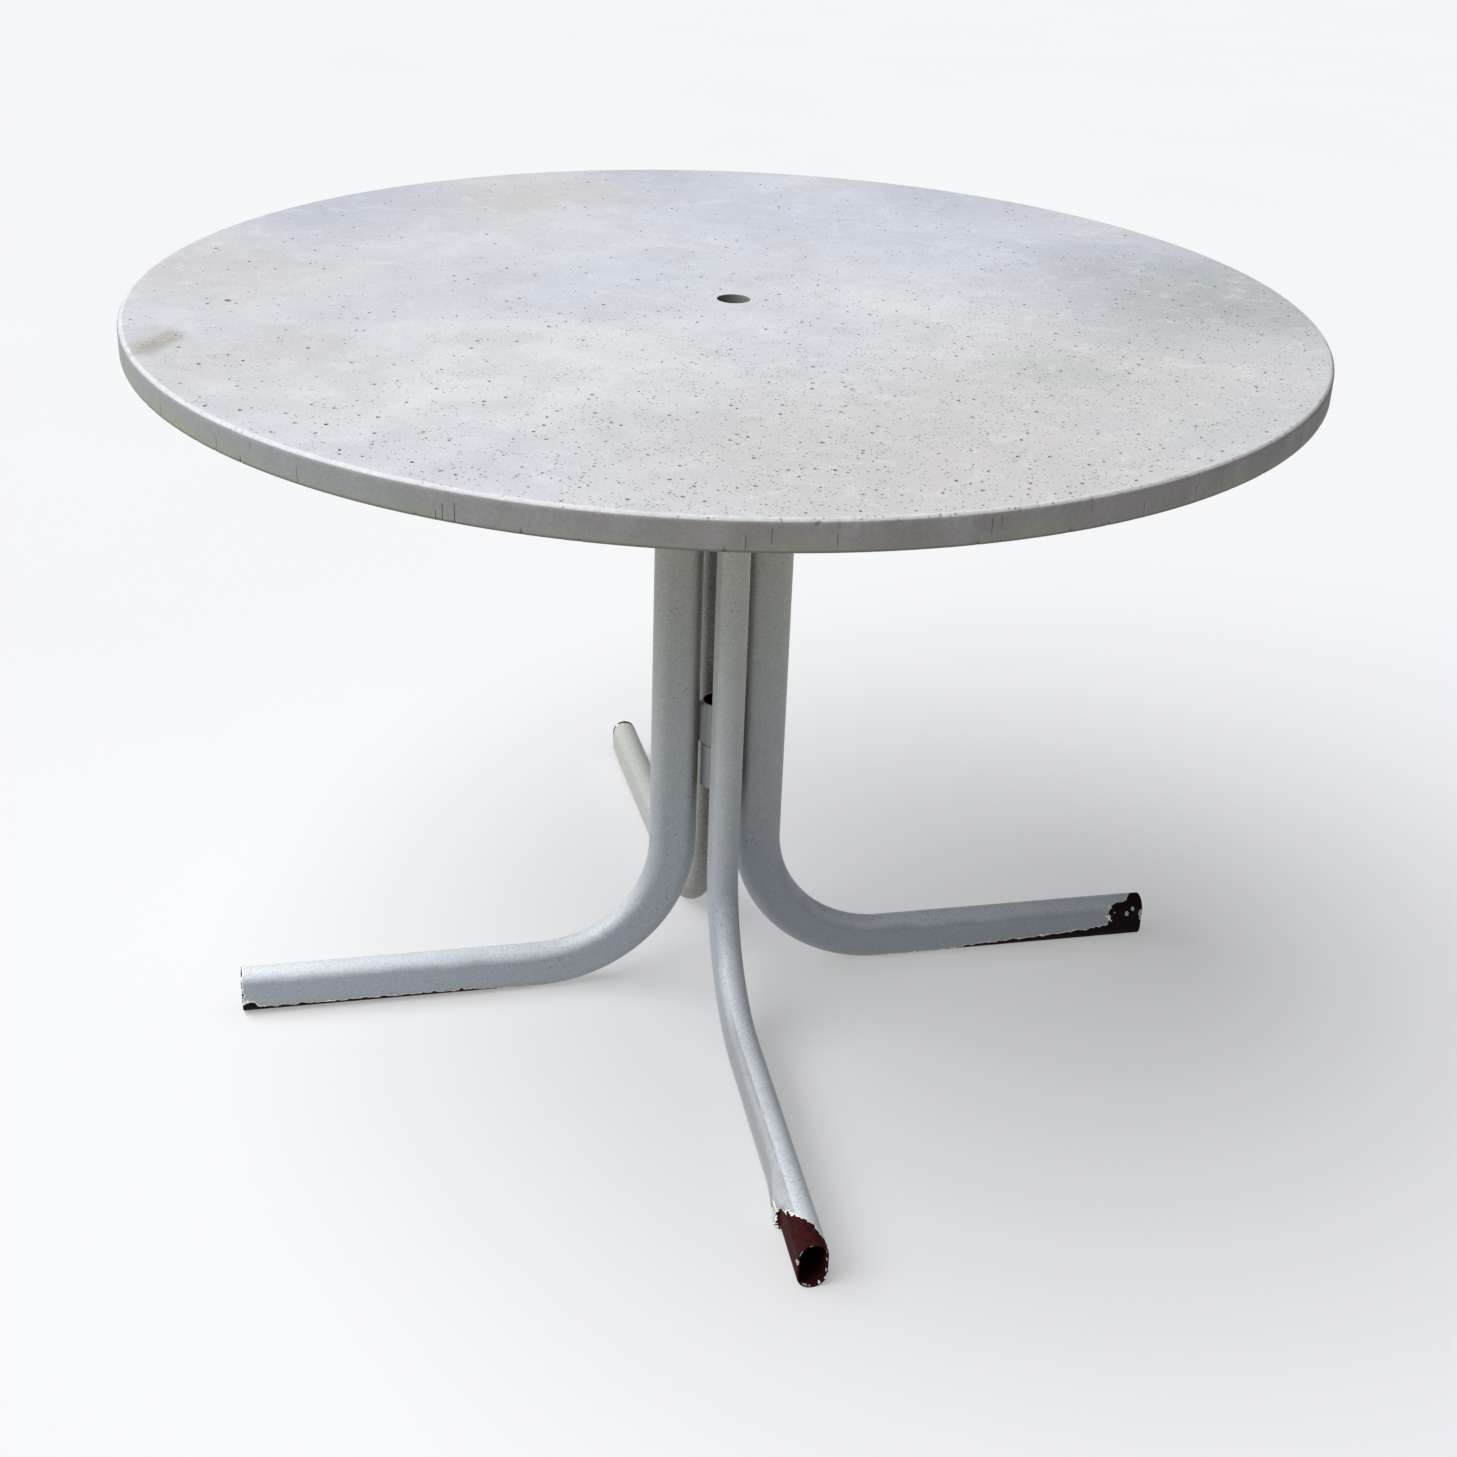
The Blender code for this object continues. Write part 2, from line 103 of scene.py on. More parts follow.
# %% Hold one material, and make any node from its type, settings and socket values
class Finish:
    """A material under construction. Its patterns are in metres, in the table's own frame."""

    def __init__(self, name, roughness=0.5, metallic=0.0, specular=0.5):
        self.material = bpy.data.materials.new(name)
        self.material.use_nodes = True
        self.tree = self.material.node_tree
        self.shader = self.tree.nodes["Principled BSDF"]
        self.shader.inputs["Roughness"].default_value = roughness
        self.shader.inputs["Metallic"].default_value = metallic
        self.shader.inputs["Specular IOR Level"].default_value = specular
        self.place = self.node("ShaderNodeTexCoord", {}, {}, "Object")

    def node(self, kind, settings, sockets, output=0):
        made = self.tree.nodes.new(kind)
        for key, value in settings.items():
            setattr(made, key, value)
        for key, value in sockets.items():
            if isinstance(value, Wire):
                self.tree.links.new(value.socket, made.inputs[key])
            else:
                made.inputs[key].default_value = value
        return Wire(self, made.outputs[output])

    def mix(self, factor, first, second, how="MIX"):
        """One colour laid over another."""
        first, second = ((*c, 1.0) if isinstance(c, tuple) else c for c in (first, second))
        return self.node(
            "ShaderNodeMix", {"data_type": "RGBA", "blend_type": how}, {0: factor, 6: first, 7: second}, 2
        )

    def noise(self, per_metre, detail=3.0, rough=0.5, at=None, warp=0.0):
        sockets = {
            "Vector": at or self.place, "Scale": per_metre, "Detail": detail, "Roughness": rough,
            "Distortion": warp
        }
        return self.node("ShaderNodeTexNoise", {}, sockets)

    def cells(self, per_metre, at=None):
        sockets = {"Vector": at or self.place, "Scale": per_metre}
        return self.node("ShaderNodeTexVoronoi", {}, sockets, "Distance")

    def vector(self, operation, first, second, output=0):
        return self.node("ShaderNodeVectorMath", {"operation": operation}, {0: first, 1: second}, output)

    def stretch(self, x, y, z):
        """The place, scaled along each axis, for streaks and drips."""
        return self.vector("MULTIPLY", self.place, (x, y, z))

    def axis(self, letter):
        return self.node("ShaderNodeSeparateXYZ", {}, {0: self.place}, "XYZ".index(letter))

    def blob(self, x, y, reach, at):
        """1 at a spot on the slab, falling softly to 0 at its reach."""
        away = self.vector("DISTANCE", at, (x, y, SLAB_TOP), "Value")
        settings = {"interpolation_type": "SMOOTHERSTEP"}
        return self.node("ShaderNodeMapRange", settings, {0: away, 1: 0.0, 2: reach, 3: 1.0, 4: 0.0})

    def drawn(self, name):
        """A value that the mesh carries at its points."""
        return self.node("ShaderNodeAttribute", {"attribute_name": name}, {}, "Fac")

    def facing_up(self):
        """1 where the surface faces the sky, -1 where it faces the ground."""
        normal = self.node("ShaderNodeNewGeometry", {}, {}, "Normal")
        return self.node("ShaderNodeSeparateXYZ", {}, {0: normal}, 2)

    def done(self, colour=None, roughness=None, height=None, depth=0.001):
        """Feeds the shader. Height is a bump whose full swing is the given depth in metres."""
        for key, value in (("Base Color", colour), ("Roughness", roughness)):
            if value is not None:
                self.tree.links.new(value.socket, self.shader.inputs[key])
        if height is not None:
            bump = self.node("ShaderNodeBump", {}, {"Distance": depth, "Strength": 1.0, "Height": height})
            self.tree.links.new(bump.socket, self.shader.inputs["Normal"])
        print(f"{self.material.name}: {len(self.tree.nodes)} nodes")
        return self.material


# %% [markdown]
# ## Building meshes from rings
# Every piece here is a lathe turning, a swept tube or a plate, so each is made of rings of points.
# Blender's modifiers could spin and sweep them too, but then a chip or a crack couldn't be placed.
# A small shell class keeps the points and faces, joins ring to ring, and carries values for the finish.

# %% Collect points and faces, and join one ring to the next
class Shell:
    def __init__(self):
        self.points, self.faces, self.values = [], [], {}

    def ring(self, points):
        first = len(self.points)
        self.points += [Vector(p) for p in points]
        return list(range(first, len(self.points)))

    def bridge(self, ring, following):
        for i, j in zip(range(len(ring)), [*range(1, len(ring)), 0]):
            self.faces.append((ring[i], ring[j], following[j], following[i]))

    def tell(self, name, index, value):
        """Gives a point a value that the finish can read, and keeps the highest one."""
        told = self.values.setdefault(name, {})
        told[index] = max(told.get(index, 0.0), value)

    def cap(self, ring):
        """Closes a ring with a fan about its middle."""
        middle = self.ring([sum((self.points[i] for i in ring), Vector()) / len(ring)])[0]
        for i, j in zip(ring, ring[1:] + ring[:1]):
            self.faces.append((i, j, middle))

    def fill(self, rings, loose, keep):
        """Covers the flat area between rings with triangles that also pass through the loose points."""
        members = [i for ring in rings for i in ring] + loose
        flat = [self.points[i].xy for i in members]
        made = geometry.delaunay_2d_cdt(flat, [], [], 0, 1e-7)
        origin = [members[found[0]] if found else None for found in made[3]]
        for triangle in made[2]:
            corners = [origin[i] for i in triangle]
            centre = sum((self.points[i].xy for i in corners), Vector((0.0, 0.0))) / 3
            if keep(centre):
                self.faces.append(tuple(corners))


# %% Turn a shell into a piece that rides on its body and stands for its CAD node
def make_piece(name, shell, material, body, replaced, smooth_angle=35.0):
    mesh = bpy.data.meshes.new(name)
    mesh.from_pydata(shell.points, [], shell.faces)
    for key, told in shell.values.items():
        values = [told.get(i, 0.0) for i in range(len(shell.points))]
        mesh.attributes.new(key, "FLOAT", "POINT").data.foreach_set("value", values)
    builder = bmesh.new()
    builder.from_mesh(mesh)
    bmesh.ops.recalc_face_normals(builder, faces=builder.faces)
    builder.to_mesh(mesh)
    builder.free()
    mesh.shade_smooth()
    mesh.set_sharp_from_angle(angle=math.radians(smooth_angle))
    mesh.materials.append(material)
    piece = bpy.data.objects.new(name, mesh)
    bpy.context.scene.collection.objects.link(piece)
    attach(piece, body)
    if replaced:
        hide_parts(replaced)
    print(f"{name}: {len(mesh.vertices)} points, {len(mesh.polygons)} faces")
    return piece


# %% [markdown]
# ## The slab's colour
# Cast stone dries in clouds: pale where cement rose, and warmer or greener where dirt and algae stayed.
# A painted picture could hold that, but noise that is warped before it is read gives the same soft islands
# at any distance. A few broad patches set where the slab is chalky, beige or green; the bluish patches towards the
# back are painted sky reflection, and the dark patch at the right is painted shade.

# %% Name the broad patches on the slab: place, reach, colour, strength
CHALK = (0.68, 0.70, 0.70)
# Painted sky reflection: the bluish tones towards the back of the top.
SKY_REFLECTION = (0.53, 0.58, 0.66)
DIM_SKY_REFLECTION = (0.42, 0.45, 0.53)
SAND = (0.56, 0.53, 0.50)
ALGAE = (0.43, 0.475, 0.43)
SHADE = (0.385, 0.395, 0.405)
STAIN = (0.30, 0.25, 0.15)
PATCHES = [
    (-0.17, -0.16, 0.20, CHALK, 0.80),
    (0.14, -0.01, 0.15, CHALK, 0.70),
    (-0.34, -0.25, 0.17, CHALK, 0.75),
    (-0.20, 0.23, 0.24, CHALK, 0.35),
    (0.12, 0.34, 0.30, SKY_REFLECTION, 0.70),
    (-0.10, 0.10, 0.22, SKY_REFLECTION, 0.40),
    (0.28, 0.12, 0.24, SKY_REFLECTION, 0.45),
    (-0.02, 0.52, 0.20, DIM_SKY_REFLECTION, 0.55),
    (0.36, 0.40, 0.20, DIM_SKY_REFLECTION, 0.60),
    (-0.36, 0.38, 0.26, DIM_SKY_REFLECTION, 0.60),
    (-0.16, 0.42, 0.16, SAND, 0.60),
    (-0.46, 0.12, 0.16, SAND, 0.45),
    (0.06, -0.46, 0.36, SAND, 0.75),
    (0.28, -0.26, 0.28, SAND, 0.65),
    (-0.44, -0.14, 0.12, SAND, 0.35),
    (-0.515, -0.078, 0.034, STAIN, 0.65),
    # Painted shade over the right of the top.
    (0.50, 0.00, 0.34, SHADE, 0.95),
    (0.46, 0.04, 0.14, ALGAE, 0.35),
    (0.42, 0.16, 0.20, DIM_SKY_REFLECTION, 0.40),
    (0.24, -0.24, 0.12, ALGAE, 0.50),
    (0.36, -0.42, 0.14, ALGAE, 0.35),
]

# %% Mix the slab's finish
slab_finish = Finish("slab_stone", specular=0.35)
drift = slab_finish.noise(7.0, 3.0)
shove = slab_finish.node(
    "ShaderNodeTexNoise", {}, {"Vector": slab_finish.place, "Scale": 6.0, "Detail": 4.0}, "Color"
)
shove = slab_finish.vector("SUBTRACT", shove, (0.5, 0.5, 0.5))
shove = slab_finish.node("ShaderNodeVectorMath", {"operation": "SCALE"}, {0: shove, "Scale": 0.22})
warped = slab_finish.vector("ADD", slab_finish.place, shove)
onto_the_top = {0: warped, 1: (1.0, 1.0, 0.0), 2: (0.0, 0.0, SLAB_TOP)}
flattened = slab_finish.node("ShaderNodeVectorMath", {"operation": "MULTIPLY_ADD"}, onto_the_top)
stone = slab_finish.mix(drift.above(0.5, 0.5), (0.58, 0.59, 0.61), (0.64, 0.64, 0.66))
for x, y, reach, colour, strength in PATCHES:
    stone = slab_finish.mix(slab_finish.blob(x, y, reach, flattened) * strength, stone, colour)
cloud = slab_finish.noise(16.0, 6.0, 0.62, warp=0.6)
wisp = slab_finish.noise(38.0, 5.0, 0.6, warp=1.2)
grain = slab_finish.noise(420.0, 2.0, 0.6)
stone = slab_finish.mix(cloud.above(0.52, 0.22) * 0.42, stone, (0.50, 0.50, 0.52))
stone = slab_finish.mix(wisp.above(0.60, 0.14) * 0.30, stone, (0.72, 0.73, 0.74))
stone = slab_finish.mix(grain.above(0.5, 0.5) * 0.35, stone, (0.45, 0.45, 0.46), "MULTIPLY")

# %% [markdown]
# The slab's edge has another history. It was cast against a mould, so it is darker and browner, with painted shade on
# its upright face, and rain has run down it. It is painted lighter at the left and darker at the right as painted
# light and shade. The bevel above it is rubbed pale by hands and chairs and carries a painted highlight.
# Both are told from the top by height and by how far out the point lies, which the mesh already knows.

# %% Give the edge its brown and painted shade, its painted light at the left, its drips, its green feet and its pale bevel with a painted highlight
out_from_axis = slab_finish.vector("MULTIPLY", slab_finish.place, (1.0, 1.0, 0.0))
out_from_axis = slab_finish.node("ShaderNodeVectorMath", {"operation": "LENGTH"}, {0: out_from_axis}, "Value")
height_up = slab_finish.axis("Z")
on_edge = out_from_axis.above(SLAB_RADIUS - 1.6 * MM, 1.2 * MM) * (
    1 - height_up.above(SLAB_TOP - 2.2 * MM, 1.0 * MM)
)
drip = slab_finish.noise(30.0, 4.0, 0.6, at=slab_finish.stretch(1.0, 1.0, 0.4))
# The edge's dark tone is partly painted shade on the upright face.
edge_stone = slab_finish.mix(drip.above(0.5, 0.5), (0.238, 0.218, 0.212), (0.318, 0.298, 0.292))
bloom = slab_finish.noise(24.0, 3.0, 0.5, at=slab_finish.stretch(1.0, 1.0, 0.4))
# Painted light at the left of the edge and painted shade at the right of it.
lit_left_edge = 1 - slab_finish.axis("X").above(-0.26, 0.34)
edge_stone = slab_finish.mix(lit_left_edge * 0.8, edge_stone, (0.272, 0.292, 0.288))
shaded_right_edge = slab_finish.axis("X").above(0.40, 0.24)
edge_stone = slab_finish.mix(shaded_right_edge * 0.75, edge_stone, (0.165, 0.150, 0.158))
edge_stone = slab_finish.mix(bloom.above(0.66, 0.16) * 0.22, edge_stone, (0.50, 0.51, 0.54))
grit = slab_finish.noise(300.0, 4.0, 0.7)
edge_stone = slab_finish.mix(grit.above(0.5, 0.4) * 0.45, edge_stone, (0.60, 0.58, 0.57), "MULTIPLY")
moss = slab_finish.noise(9.0, 3.0, 0.6) + (SLAB_TOP - 8 * MM - height_up) * 12.0
edge_stone = slab_finish.mix(moss.above(0.66, 0.16) * 0.55, edge_stone, (0.24, 0.29, 0.18))
low_line = 1 - (height_up + grit * 1.6 * MM).above(SLAB_UNDERSIDE + 3.0 * MM, 1.4 * MM)
edge_stone = slab_finish.mix(low_line * 0.65, edge_stone, (0.10, 0.09, 0.06))
stone = slab_finish.mix(on_edge, stone, edge_stone)
# The pale bevel is wear and a painted highlight.
rubbed_and_highlight = slab_finish.drawn("rubbed_and_highlight")
scuff = slab_finish.noise(160.0, 4.0, 0.7)
stone = slab_finish.mix((rubbed_and_highlight * 1.5 - scuff * 1.0).clip(), stone, (0.66, 0.66, 0.67))

# %% Darken the pits, cracks, chips and pole hole as painted shade, and roughen the whole
recess_shade = slab_finish.drawn("recess_shade")
flecks = slab_finish.cells(210.0)
fleck_here = slab_finish.noise(55.0, 2.0) + slab_finish.drawn("pitted") * 0.22
fleck_mask = (1 - flecks.above(0.20, 0.10)) * fleck_here.above(0.68, 0.08) * (1 - on_edge * 0.7)
stone = slab_finish.mix(fleck_mask * 0.65, stone, (0.16, 0.15, 0.14))
# Painted shade: pits, cracks, chips and the pole hole's walls go near black.
stone = slab_finish.mix(recess_shade.above(0.45, 0.4), stone, (0.055, 0.05, 0.045))
shine = 0.52 + slab_finish.noise(60.0, 4.0) * 0.2
relief = grain * 0.5 + slab_finish.noise(1500.0, 2.0) * 0.3 - fleck_mask
SLAB_STONE = slab_finish.done(stone, shine, height=relief, depth=0.25 * MM)

# %% [markdown]
# ## The slab's shape
# Air bubbles leave open pits in a cast face, and chips leave the edge when chairs knock it.
# Displacing a dense grid would need a million points to hold pits of two millimetres.
# Instead each pit is drawn as two small rings and a floor, and the flat between them is
# filled with triangles, so that the points are spent only where there is something to see.

# %% Choose where the pits lie: crowded at the front and right, sparse at the back
PIT_COUNT = 1900
rng = random.Random(41)


def pit_crowding(x, y):
    toward_front = (0.45 * x - 0.90 * y) / SLAB_RADIUS
    return 0.20 + 0.80 * max(0.0, min(1.0, 0.40 + 0.85 * toward_front))


def scatter_pits():
    pits, cells = [(-0.457, 0.019, 4.4 * MM, 4.0 * MM)], {}
    while len(pits) < PIT_COUNT:
        x, y = rng.uniform(-0.54, 0.54), rng.uniform(-0.54, 0.54)
        size = (0.80 + 1.8 * rng.random() ** 2.2) * MM
        away = math.hypot(x, y)
        if not 0.022 < away < SLAB_RADIUS - 8 * MM or rng.random() > pit_crowding(x, y):
            continue
        cell = (int(x * 100), int(y * 100))
        near = [p for i in (-1, 0, 1) for j in (-1, 0, 1) for p in cells.get((cell[0] + i, cell[1] + j), [])]
        if any(math.hypot(x - p[0], y - p[1]) < (size + p[2]) * 1.25 + 0.3 * MM for p in near):
            continue
        pit = (x, y, size, size * rng.uniform(0.8, 1.3))
        pits.append(pit)
        cells.setdefault(cell, []).append(pit)
    return pits


pits = scatter_pits()
print(f"{len(pits)} pits in the top")

# %% Draw one pit as a lip, a wall and a floor
def draw_pit(shell, x, y, size, depth):
    turn, squeeze, bearing = rng.random() * 6.28, rng.uniform(0.55, 1.0), rng.random() * math.pi
    rings = []
    for count, share, sunk in ((8, 1.0, 0.0), (6, 0.66, 1.0)):
        points = []
        for step in range(count):
            angle = turn + 2 * math.pi * step / count
            radius = size * share * rng.uniform(0.86, 1.0)
            across, along = radius * math.cos(angle), radius * math.sin(angle) * squeeze
            offset = (
                across * math.cos(bearing) - along * math.sin(bearing),
                across * math.sin(bearing) + along * math.cos(bearing)
            )
            points.append((x + offset[0], y + offset[1], SLAB_TOP - depth * sunk))
        rings.append(shell.ring(points))
    floor = shell.ring([(x, y, SLAB_TOP - depth * 1.1)])
    # The pit's wall and floor are marked for painted shade.
    for index in rings[1] + floor:
        shell.tell("recess_shade", index, 1.0)
    return rings[0] + rings[1] + floor


# %% Draw the slab's edge: a moulded side, a worn bevel, cracks and chips
EDGE_PROFILE = [  # how far in from the rim, and how far up from the underside, in millimetres
    (1.7, 0.0), (0.5, 0.4), (0.0, 1.5), (0.0, 4.0), (0.0, 6.6), (0.0, 9.2), (0.0, 11.8), (0.0, 14.4),
    (0.0, 17.0), (0.0, 19.4), (0.0, 21.4), (0.1, 22.8), (0.7, 23.8), (1.6, 24.8), (2.5, 25.5), (3.6, 25.95),
    (5.4, 26.0),
]
BEVEL_FROM = 11
# How pale each bevel ring is painted, as wear and a painted highlight.
BEVEL_RUB_AND_HIGHLIGHT = [0.05, 0.12, 0.30, 0.62, 0.95]
EDGE_STEPS = 1300
CRACK_HALF = 0.32 * MM / SLAB_RADIUS
cracks = []
for _ in range(56):
    low = rng.choice([2, 2, 3, 4, 5, 6, 7])
    cracks.append(
        (rng.random() * 2 * math.pi, low, min(BEVEL_FROM + rng.choice([-2, -1, 0]), low + rng.randint(2, 5)))
    )
chips = [(
    rng.random() * 2 * math.pi, rng.choice([0, 1, 2, 11, 12, 13]), rng.uniform(0.8, 2.2) * MM,
    rng.uniform(0.3, 1.0) * MM
) for _ in range(150)]


def angle_between(a, b):
    return abs((a - b + math.pi) % (2 * math.pi) - math.pi)


def edge_angles():
    """Even stations round the rim, with three close ones at each crack."""
    angles = [2 * math.pi * i / EDGE_STEPS for i in range(EDGE_STEPS)]
    for middle, _, _ in cracks:
        angles = [a for a in angles if angle_between(a, middle) > 2.6 * CRACK_HALF]
        angles += [middle - CRACK_HALF, middle, middle + CRACK_HALF]
    return sorted(a % (2 * math.pi) for a in angles)


# %% Cut the pole hole's and screw pockets' rings, and close the slab
HOLE_RADIUS = 15.1 * MM
SCREW_REACH = 0.292
POCKET_RADIUS = 6.0 * MM
POCKET_DEPTH = 13.0 * MM


def circle(radius, height, count, centre=(0.0, 0.0)):
    turns = [2 * math.pi * i / count for i in range(count)]
    return [(centre[0] + radius * math.cos(t), centre[1] + radius * math.sin(t), height) for t in turns]


def edge_rings(shell):
    angles = edge_angles()
    rings = []
    for level, (inset, up) in enumerate(EDGE_PROFILE):
        points, told = [], []
        on_bevel = BEVEL_FROM <= level < len(EDGE_PROFILE) - 1
        for angle in angles:
            rub = noise.noise(Vector((math.cos(angle) * 55, math.sin(angle) * 55, level * 0.35)))
            sunk = (0.30 if on_bevel else 0.12) * MM * (0.5 + 0.5 * rub)
            # mark: how far a chip or crack is darkened as painted shade.
            mark = 0.0
            for middle, centre_level, half, depth in chips:
                gap = angle_between(angle, middle) * SLAB_RADIUS
                if gap < half * 2 and abs(level - centre_level) <= 2:
                    bite = math.exp(-((gap / half) ** 2) * 2) * (1 - 0.3 * abs(level - centre_level))
                    sunk += depth * bite
                    mark = max(mark, bite * (0.9 if centre_level < 3 else 0.55))
            for middle, low, high in cracks:
                if low <= level <= high and angle_between(angle, middle) < CRACK_HALF * 0.4:
                    sunk += 0.8 * MM
                    mark = 0.9
            radius = SLAB_RADIUS - inset * MM - sunk * (0.0 if level == len(EDGE_PROFILE) - 1 else 1.0)
            drop = sunk * 0.6 if on_bevel else 0.0
            points.append(
                (radius * math.cos(angle), radius * math.sin(angle), SLAB_UNDERSIDE + up * MM - drop)
            )
            told.append((mark, BEVEL_RUB_AND_HIGHLIGHT[level - BEVEL_FROM] * (0.8 + 0.5 * rub) if on_bevel else 0.0))
        ring = shell.ring(points)
        for index, (mark, rub) in zip(ring, told):
            shell.tell("recess_shade", index, mark)
            shell.tell("rubbed_and_highlight", index, rub)
        rings.append(ring)
    for ring, following in zip(rings, rings[1:]):
        shell.bridge(ring, following)
    return rings[0], rings[-1]


def make_slab():
    shell = Shell()
    low_rim, high_rim = edge_rings(shell)
    hole = [shell.ring(circle(HOLE_RADIUS + grow, z, 72)) for grow, z in (
        (0.8 * MM, SLAB_UNDERSIDE), (0.0, SLAB_UNDERSIDE + 0.8 * MM), (0.15 * MM, SLAB_UNDERSIDE + 13 * MM),
        (0.0, SLAB_TOP - 1.2 * MM), (0.35 * MM, SLAB_TOP - 0.4 * MM), (1.2 * MM, SLAB_TOP))]
    for ring, following in zip(hole, hole[1:]):
        shell.bridge(ring, following)
    # The hole's walls are marked for painted shade.
    for index in hole[1] + hole[2] + hole[3] + hole[4]:
        shell.tell("recess_shade", index, 0.56)
    top_points = [i for pit in pits for i in draw_pit(shell, *pit)]
    taken = {}
    for x, y, size, _ in pits:
        taken.setdefault((int(x * 50), int(y * 50)), []).append((x, y, size))
    spacing = 11 * MM
    reach = int(SLAB_RADIUS / spacing) + 1
    flat = []
    for i in range(-reach, reach + 1):
        for j in range(-reach, reach + 1):
            x = (i + 0.5 * (j % 2)) * spacing + rng.uniform(-1, 1) * 1.5 * MM
            y = j * spacing * 0.866 + rng.uniform(-1, 1) * 1.5 * MM
            cell = (int(x * 50), int(y * 50))
            near = [
                p for a in (-1, 0, 1) for b in (-1, 0, 1) for p in taken.get((cell[0] + a, cell[1] + b), [])
            ]
            clear = all(math.hypot(x - p[0], y - p[1]) > p[2] * 1.6 for p in near)
            if clear and HOLE_RADIUS + 5 * MM < math.hypot(x, y) < SLAB_RADIUS - 9 * MM:
                flat.append(
                    (x, y, SLAB_TOP - 0.12 * MM * (0.5 + 0.5 * noise.noise(Vector((x, y, 0.0)) * 14)))
                )
    top_points += shell.ring(flat)
    shell.fill([high_rim, hole[-1]], top_points, lambda c: c.length > HOLE_RADIUS + 0.9 * MM)
    pockets = []
    for turn in range(4):
        centre = (SCREW_REACH * math.cos(turn * math.pi / 2), SCREW_REACH * math.sin(turn * math.pi / 2))
        mouth = shell.ring(circle(POCKET_RADIUS, SLAB_UNDERSIDE, 24, centre))
        ceiling = shell.ring(circle(POCKET_RADIUS, SLAB_UNDERSIDE + POCKET_DEPTH, 24, centre))
        shell.bridge(mouth, ceiling)
        shell.cap(ceiling)
        pockets.append((mouth, Vector(centre)))
    below = []
    for i in range(1, 11):
        count = 12 * i
        below += shell.ring(circle(i * 0.05, SLAB_UNDERSIDE, count))
    below += shell.ring(circle(SLAB_RADIUS - 4.5 * MM, SLAB_UNDERSIDE, 600))
    below = [
        i for i in below if all((shell.points[i].xy - c).length > POCKET_RADIUS + 2 * MM for _, c in pockets)
    ]
    shell.fill(
        [low_rim, hole[0]] + [mouth for mouth, _ in pockets], below,
        lambda c: c.length > HOLE_RADIUS + 0.7 * MM and all(
            (c - p).length > POCKET_RADIUS * 0.98 for _, p in pockets
        ),
    )
    for index, point in enumerate(shell.points):
        shell.tell("pitted", index, pit_crowding(point.x, point.y))
    return make_piece("slab", shell, SLAB_STONE, "fixed_frame", "tabletop", 28.0)


make_slab()

# %% [markdown]
# ## Paint, rust and bare steel
# The tubes were sprayed off-white. Where feet scrape the ground the paint has lifted and the steel
# has gone dark brown. Two materials could meet at face borders, but the edge of a paint film is finer than any face.
# The mesh carries how bare each point is, and the finish adds small noise before it cuts paint from rust.

# %% Mix the paint: lighter and bluer on top as painted light, bluer low down as painted sky light, darker beneath as painted shade, and darker with grime and painted shade under the slab and between the legs
paint_finish = Finish("frame_paint", specular=0.5)
bare = paint_finish.drawn("bare")
dirt_and_shade = paint_finish.drawn("dirt_and_shade")
upward = paint_finish.facing_up()
mottle = paint_finish.noise(26.0, 5.0, 0.6)
freckle = paint_finish.noise(330.0, 4.0, 0.7)
chalky = paint_finish.noise(520.0, 3.0, 0.7)
streak = paint_finish.noise(70.0, 4.0, 0.6, at=paint_finish.stretch(1.0, 1.0, 0.15))
height_up = paint_finish.axis("Z")
paint = paint_finish.mix(mottle.above(0.5, 0.4), (0.376, 0.402, 0.402), (0.430, 0.452, 0.450))
# Painted sky light: the paint turns bluer towards the ground.
painted_sky_tint_low = 1 - height_up.above(0.20, 0.30)
paint = paint_finish.mix(painted_sky_tint_low * 0.85, paint, (0.350, 0.398, 0.452))
# Painted light: faces that look up are lighter and bluer, as if lit and reflecting the sky.
painted_top_light = (upward + mottle * 0.5 - 0.25).above(0.42, 0.44)
paint = paint_finish.mix(painted_top_light, paint, (0.675, 0.720, 0.760))
paint = paint_finish.mix(streak.above(0.60, 0.2) * 0.25, paint, (0.42, 0.42, 0.38))
# Olive grime with painted shade: darker towards the slab above.
grime_and_shade_high = (height_up.above(0.50, 0.44) * (0.75 + mottle * 0.5)).clip()
paint = paint_finish.mix(grime_and_shade_high, paint, (0.296, 0.272, 0.152))
behind = paint_finish.axis("Y").above(0.24, 0.20) * 0.75
paint = paint_finish.mix(behind, paint, (0.405, 0.405, 0.335))
shaded = (-0.25 - upward).above(0.25, 0.7) * 0.55
paint = paint_finish.mix(shaded, paint, (0.300, 0.295, 0.240))
# Grime with painted shade between the legs, under the slab and on the knuckles.
paint = paint_finish.mix((dirt_and_shade * (0.75 + mottle * 0.4)).clip(), paint, (0.125, 0.108, 0.072))
paint = paint_finish.mix(freckle.above(0.54, 0.26) * 0.34, paint, (0.27, 0.28, 0.27))
paint = paint_finish.mix(chalky.above(0.58, 0.2) * 0.22, paint, (0.78, 0.81, 0.82))
specks = paint_finish.cells(260.0, at=paint_finish.stretch(1.0, 1.0, 0.6))
speck_here = paint_finish.noise(34.0, 3.0).above(0.60, 0.10)
speck_mask = (1 - specks.above(0.17, 0.08)) * speck_here
paint = paint_finish.mix(speck_mask * 0.75, paint, (0.09, 0.08, 0.06))

